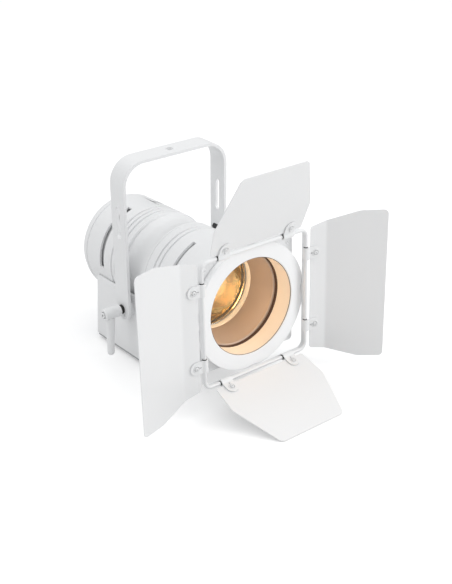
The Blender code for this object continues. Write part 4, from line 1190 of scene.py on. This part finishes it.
@dataclass
class BarnDoor:
    """Wire-rimmed frame, four leaves, eight clips and their rivets."""

    rail_x: float = 76.0
    rail_z: float = 78.0
    lift: float = 0.6
    wire_y: float = -6.9
    wire: float = 2.2
    corner: float = 9.0
    sheet: float = 1.0
    spacing: float = 47.0
    # Black sleeves on the wire beside each clip: painted shade, dark rings that stand for the shaded
    # notch at the clip's curl.
    sleeve_reach: float = 7.7
    sleeve_shift: float = 0.8
    leaf_start: float = 6.0
    flap_halves: tuple = (65.5, 68.4, 46.5)
    flap_depths: tuple = (36.0, 63.0)
    panel_halves: tuple = (79.0, 84.0, 95.5, 96.0)
    panel_depths: tuple = (21.0, 39.5, 32.0)
    band: tuple = (1.2, 6.2)
    band_y: float = -3.9

    def rails(self) -> dict[str, Rail]:
        """The four rails with their leaves at rest."""
        made = {}
        for name, out, degrees in OPENINGS:
            turn = radians(degrees)
            centre = out * (self.rail_z if out.z else self.rail_x) + Y * self.wire_y + Z * self.lift
            along, inwards = out * sin(turn) - Y * cos(turn), -out * cos(turn) - Y * sin(turn)
            made[name] = Rail(name, centre, along, inwards)
        return made

    def loop(self, name: str, loop: tuple, y: float) -> Obj:
        """Sweep a section once round the rounded square.

        Args:
            name: the piece's name.
            loop: the section, standing at the middle of the top rail.
            y: where the piece is along the optical axis.

        Returns:
            The closed piece.
        """
        far, tall = self.rail_x - self.corner, self.rail_z - self.corner
        moves = [
            (far, 0, 0), ((far, 0, tall), Y, 90, 10), (0, 0, -2 * tall),
            ((far, 0, -tall), Y, 90, 10), (-2 * far, 0, 0), ((-far, 0, -tall), Y, 90, 10),
            (0, 0, 2 * tall), ((-far, 0, tall), Y, 90, 10), (far, 0, 0),
        ]
        return Bench.swept(name, loop, moves, moved(0, y, self.lift), closed=True)

    def frame(self) -> None:
        """Band with clip notches and tabs, and the wire along its front edge."""
        section = Matrix.Translation((0, 0, self.rail_z)) @ spun(90, "Y")
        rim = self.loop("frame_wire", (self.wire, section), self.wire_y)
        Bench.smooth(40)
        Bench.dress(rim, WHITE, "lamp", "barn_door_frame")
        band = self.loop("frame_band", (*self.band, section), self.band_y)
        tools, tabs = [], []
        for side, _ in SIDES:
            across, level = side * self.rail_x, side * self.rail_z + self.lift
            for place in (-self.spacing, self.spacing):
                tools.append(Bench.block("cut", (17, 10, 5), moved(place, -7.3, level)))
                tools.append(Bench.block("cut", (5, 10, 17), moved(across, -7.3, place + self.lift)))
            tabs.append(Bench.block("tab", (10, 10.5, 1.0), moved(0, 1.75, level)))
            tabs.append(Bench.block("tab", (1.0, 10.5, 10), moved(across, 1.75, self.lift)))
        Bench.combine(band, tools)
        Bench.combine(band, tabs, "UNION")
        Bench.dress(Bench.soften(band, 0.2), WHITE, "lamp", "barn_door_frame")

    def flat_leaf(self, rail: Rail) -> None:
        """Top or bottom leaf: a strip at the hinge, then a narrowing flap."""
        leaf = Bench.begin(f"flap_{rail.name}", "plane", size=1)
        strip, knee, tip = self.flap_halves
        near, far = self.flap_depths
        bpy.ops.transform.resize(value=(2 * strip * MM, near * MM, 1))
        Bench.move((0, self.leaf_start + near / 2, 0))
        Bench.pick("EDGE", lambda at: at.y > 41)
        bpy.ops.transform.resize(value=(knee / strip, 1, 1))
        Bench.pull((0, far, 0))
        bpy.ops.transform.resize(value=(tip / knee, 1, 1))
        for low, high, radius in ((5, 7, 2.2), (41, 43, 3.0), (104, 106, 5.5)):
            Bench.pick("VERT", lambda at: low < at.y < high)
            bpy.ops.mesh.bevel(offset=radius * MM, segments=6, affect="VERTICES")
        self.finish_leaf(leaf, rail)

    def bent_leaf(self, rail: Rail, fold: float) -> None:
        """Side leaf: a strip at the hinge, then a panel folded towards the beam.

        Args:
            rail: where it hinges.
            fold: of the panel, in degrees.
        """
        turn = radians(fold)
        leaf = Bench.begin(f"flap_{rail.name}", "plane", size=1)
        strip, grown, *wider = self.panel_halves
        near, *further = self.panel_depths
        crease = self.leaf_start + near
        bpy.ops.transform.resize(value=(2 * strip * MM, near * MM, 1))
        Bench.move((0, self.leaf_start + near / 2, 0))
        Bench.pick("EDGE", lambda at: at.y > crease - 1)
        bpy.ops.transform.resize(value=(grown / strip, 1, 1))
        for length, half in zip(further, wider):
            Bench.pull((0, length * cos(turn), length * sin(turn)))
            bpy.ops.transform.resize(value=(half / grown, 1, 1))
            grown = half
        knee = crease + further[0] * cos(turn)
        tip = crease + sum(further) * cos(turn)
        for spot, radius in ((6, 3.0), (knee, 2.0), (tip, 5.5)):
            Bench.pick("VERT", lambda at: abs(at.y - spot) < 0.1)
            bpy.ops.mesh.bevel(offset=radius * MM, segments=6, affect="VERTICES")
        Bench.pick("EDGE", lambda at: abs(at.y - crease) < 0.1 and abs(at.x) < 1)
        bpy.ops.mesh.bevel(offset=1.6 * MM, segments=4, affect="EDGES")
        self.finish_leaf(leaf, rail)

    def finish_leaf(self, leaf: Obj, rail: Rail) -> None:
        """Give a leaf its thickness and soft edges, and hang it."""
        Bench.tidy()
        Bench.modify(leaf, "SOLIDIFY", thickness=self.sheet * MM, offset=0)
        Bench.soften(leaf, 0.28, 3, 50)
        Bench.place(leaf, rail.stand)
        Bench.dress(leaf, WHITE, f"leaf_{rail.name}", f"leaf_{rail.name}")

    def clip(self) -> Obj:
        """One clip, curled round the wire at the origin: tab, bend and curl."""
        lie = 1.55
        start = Matrix.Translation((0, 19.5, lie)) @ spun(90, "X")
        moves = [
            (0, 4.417 - 19.5, 0),
            ((0, 4.417, lie + 1.5), X, -30, 4),
            (0, 1.675 - 3.667, 2.90 - 1.751),
            ((0, 0, 0), X, 260, 24),
        ]
        clip = Bench.swept("clip_model", (15, 1.5, start), moves, Matrix.Identity(4))
        bpy.ops.object.mode_set(mode="EDIT")
        Bench.pick("EDGE", lambda at: at.y > 19.4 and abs(abs(at.x) - 7.5) < 0.01)
        bpy.ops.mesh.bevel(offset=7.3 * MM, segments=10, affect="EDGES")
        Bench.tidy()
        at = shift(0, 6.6, -1)
        wide = shift(0, 12, 0)
        Bench.combine(clip, [
            Bench.rod("hole", 1.0, 6, at, 20),
            Bench.rod("seat", 3.45, 6, wide, 32),
        ])
        return Bench.soften(clip, 0.22)

    @staticmethod
    def rivet() -> Obj:
        """One rivet through clip and leaf: ringed head inside, low head outside."""
        profile = [
            (0, 2.5), (0.8, 2.5), (0.9, 4.0), (1.5, 3.95), (2.1, 3.6), (2.3, 3.1), (2.3, 1.2),
            (3.2, 1.2), (3.25, 2.8), (3.5, 3.0), (4.1, 2.95), (4.4, 2.6), (4.4, 2.2), (3.6, 2.2),
            (3.6, 0.9), (1.5, 0.9), (1.5, -0.4), (2.9, -0.4), (2.8, -0.9), (2.0, -1.3), (0, -1.45),
        ]
        rivet = Bench.turned("rivet_model", profile, Matrix.Translation((0, 12 * MM, 0)), SMALL)
        Bench.smooth(45)
        return rivet

    def build(self) -> None:
        """Make the barn door."""
        self.frame()
        rails = self.rails()
        self.flat_leaf(rails["top"])
        self.flat_leaf(rails["bottom"])
        self.bent_leaf(rails["right"], 24.0)
        self.bent_leaf(rails["left"], 20.6)
        clip, rivet = self.clip(), self.rivet()
        reach = self.sleeve_reach
        # Black sleeves: painted shade in the notch beside each clip.
        profile = [(2.53, reach), (2.53, -reach), (2.25, -reach), (2.25, reach)]
        turn = spun(90, "Y")
        sleeve = Bench.turned("sleeve_model", profile, turn, SMALL)
        Bench.smooth(40)
        for rail in rails.values():
            for index, place in enumerate((-self.spacing, self.spacing), start=1):
                at = rail.stand @ Matrix.Translation((place * MM, 0, 0))
                tag, leaf = f"{rail.name}_{index}", f"leaf_{rail.name}"
                Bench.dress(Bench.twin(clip, f"curl_{tag}", at), WHITE, leaf, f"clip_{tag}")
                Bench.dress(Bench.twin(rivet, f"rivet_{tag}", at), WHITE, leaf)
                shift = self.sleeve_shift * (1 if rail.name in ("bottom", "left") else -1)
                slid = at @ Matrix.Translation((shift * MM, 0, 0))
                Bench.dress(Bench.twin(sleeve, f"sleeve_{tag}", slid), BLACK_PLASTIC, "lamp")
        for model in (clip, rivet, sleeve):
            bpy.data.objects.remove(model, do_unlink=True)


KEPT: dict[str, Finish] = {
    "focus_carriage": BLACK_METAL,
    "heat_sink": ALUMINIUM,
    "guide_rod_left": STEEL,
    "guide_rod_right": STEEL,
    "fan_frame": BLACK_PLASTIC,
    "fan_rotor": BLACK_PLASTIC,
    "base_plate": GREY_SHEET,
    "driver_board": BOARD,
    "control_panel": PANEL,
    "display_window": SMOKED,
    "safety_eye": STEEL,
}


def dress_kept() -> None:
    """Give each CAD node that stays its finish."""
    for name, finish in KEPT.items():
        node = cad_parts[name]
        node.data.materials.clear()
        node.data.materials.append(finish.material())
        log.info("%s keeps its shape", name)


@dataclass
class Studio:
    """Floor, sky, soft lights and the camera."""

    eye: tuple = (-0.6719, -0.9218, 0.6445)
    right: tuple = (0.7841, -0.6202, -0.0225)
    up: tuple = (0.2838, 0.3259, 0.9018)
    lens: float = 64.0
    soft: tuple = (
        ("key", (1.5, -1.8, 1.15), (0, 0, 0.1), 1.3, 25, (1.0, 0.995, 0.99)),
        ("fill", (-2.4, 0.5, 1.2), (0, 0, 0.1), 1.6, 7, (1.0, 1.0, 1.0)),
        ("ceiling", (-0.5, 1.0, 4.0), (-0.5, 1.0, 0.0), 8.0, 150, (1.0, 1.0, 1.0)),
    )
    warm: tuple = (("beam_front", 34, 0.02, 0.056), ("beam_back", 98, 0.010, 0.04))
    grey: float = 0.8
    floor_lift: float = 0.3
    sky_light: float = 0.5
    sky_seen: float = 1.05

    def floor(self) -> None:
        """A wide, plain, pale floor."""
        Bench.begin("studio_floor", "plane", size=9)
        bpy.ops.object.mode_set(mode="OBJECT")
        obj = bpy.context.object
        shop = NodeShop("studio_floor")
        for key, value in (
            ("Base Color", (self.grey, self.grey, self.grey, 1)), ("Roughness", 0.9),
            ("Specular IOR Level", 0.0), ("Emission Strength", self.floor_lift),
        ):
            shop.shader.inputs[key].default_value = value
        seen = shop.node("ShaderNodeLightPath", {}, {}, "Is Camera Ray")
        shop.feed(shop.shader.inputs["Emission Color"], shop.blend(seen, (0, 0, 0), (1, 1, 1)))
        obj.data.materials.append(shop.material)

    def sky(self) -> None:
        """An even white surround."""
        world = bpy.data.worlds.new("studio")
        bpy.context.scene.world = world
        world.use_nodes = True
        back = world.node_tree.nodes["Background"]
        back.inputs["Color"].default_value = (0.98, 0.99, 1.0, 1)
        seen = world.node_tree.nodes.new("ShaderNodeLightPath")
        level = world.node_tree.nodes.new("ShaderNodeMapRange")
        level.inputs["To Min"].default_value = self.sky_light
        level.inputs["To Max"].default_value = self.sky_seen
        world.node_tree.links.new(seen.outputs["Is Camera Ray"], level.inputs["Value"])
        world.node_tree.links.new(level.outputs["Result"], back.inputs["Strength"])

    @staticmethod
    def light(
        name: str, kind: str, at: Sequence[float], size: float, watts: float, colour: Colour
    ) -> Obj:
        """Add one light that the camera doesn't see.

        Args:
            name: the light's name.
            kind: AREA for a square soft light, POINT for a small lamp.
            at: where it is, in metres.
            size: side of the square, or radius of the lamp.
            watts: its power.
            colour: of the light.

        Returns:
            The light.
        """
        data = bpy.data.lights.new(name, kind)
        setattr(data, "size" if kind == "AREA" else "shadow_soft_size", size)
        data.energy, data.color = watts, colour
        obj = bpy.data.objects.new(name, data)
        obj.location = at
        obj.visible_camera = False
        bpy.context.scene.collection.objects.link(obj)
        return obj

    def lights(self) -> None:
        """Three soft lights, and two warm lamps inside the barrel."""
        for name, at, aim, *rest in self.soft:
            made = self.light(name, "AREA", at, *rest)
            made.rotation_euler = (Vector(aim) - Vector(at)).to_track_quat("-Z", "Y").to_euler()
        for name, depth, *rest in self.warm:
            made = self.light(name, "POINT", lamp(0, depth, 0), *rest, (1.0, 0.78, 0.56))
            made.visible_transmission = False

    def camera(self) -> None:
        """The camera, at the given place and axes."""
        data = bpy.data.cameras.new("camera")
        data.lens, data.sensor_width, data.clip_start = self.lens, 36.0, 0.01
        obj = bpy.data.objects.new("camera", data)
        right, up = Vector(self.right).normalized(), Vector(self.up).normalized()
        turned = Matrix((right, up, right.cross(up))).transposed().to_4x4()
        obj.matrix_world = Matrix.Translation(self.eye) @ turned
        bpy.context.scene.collection.objects.link(obj)
        bpy.context.scene.camera = obj

    def build(self) -> None:
        """Set up the studio."""
        bpy.context.scene.view_settings.view_transform = "Standard"
        self.floor()
        self.sky()
        self.lights()
        self.camera()


def main() -> None:
    """Build every sub-assembly in order."""
    logging.basicConfig(level=logging.INFO, format="%(message)s")
    for assembly in (Barrel(), Hood(), Optics(), Knobs(), BaseBox(), Yoke(), BarnDoor()):
        log.info("== %s", type(assembly).__name__)
        assembly.build()
    dress_kept()
    Studio().build()
    Bench.clear()


if __name__ == "__main__":
    main()
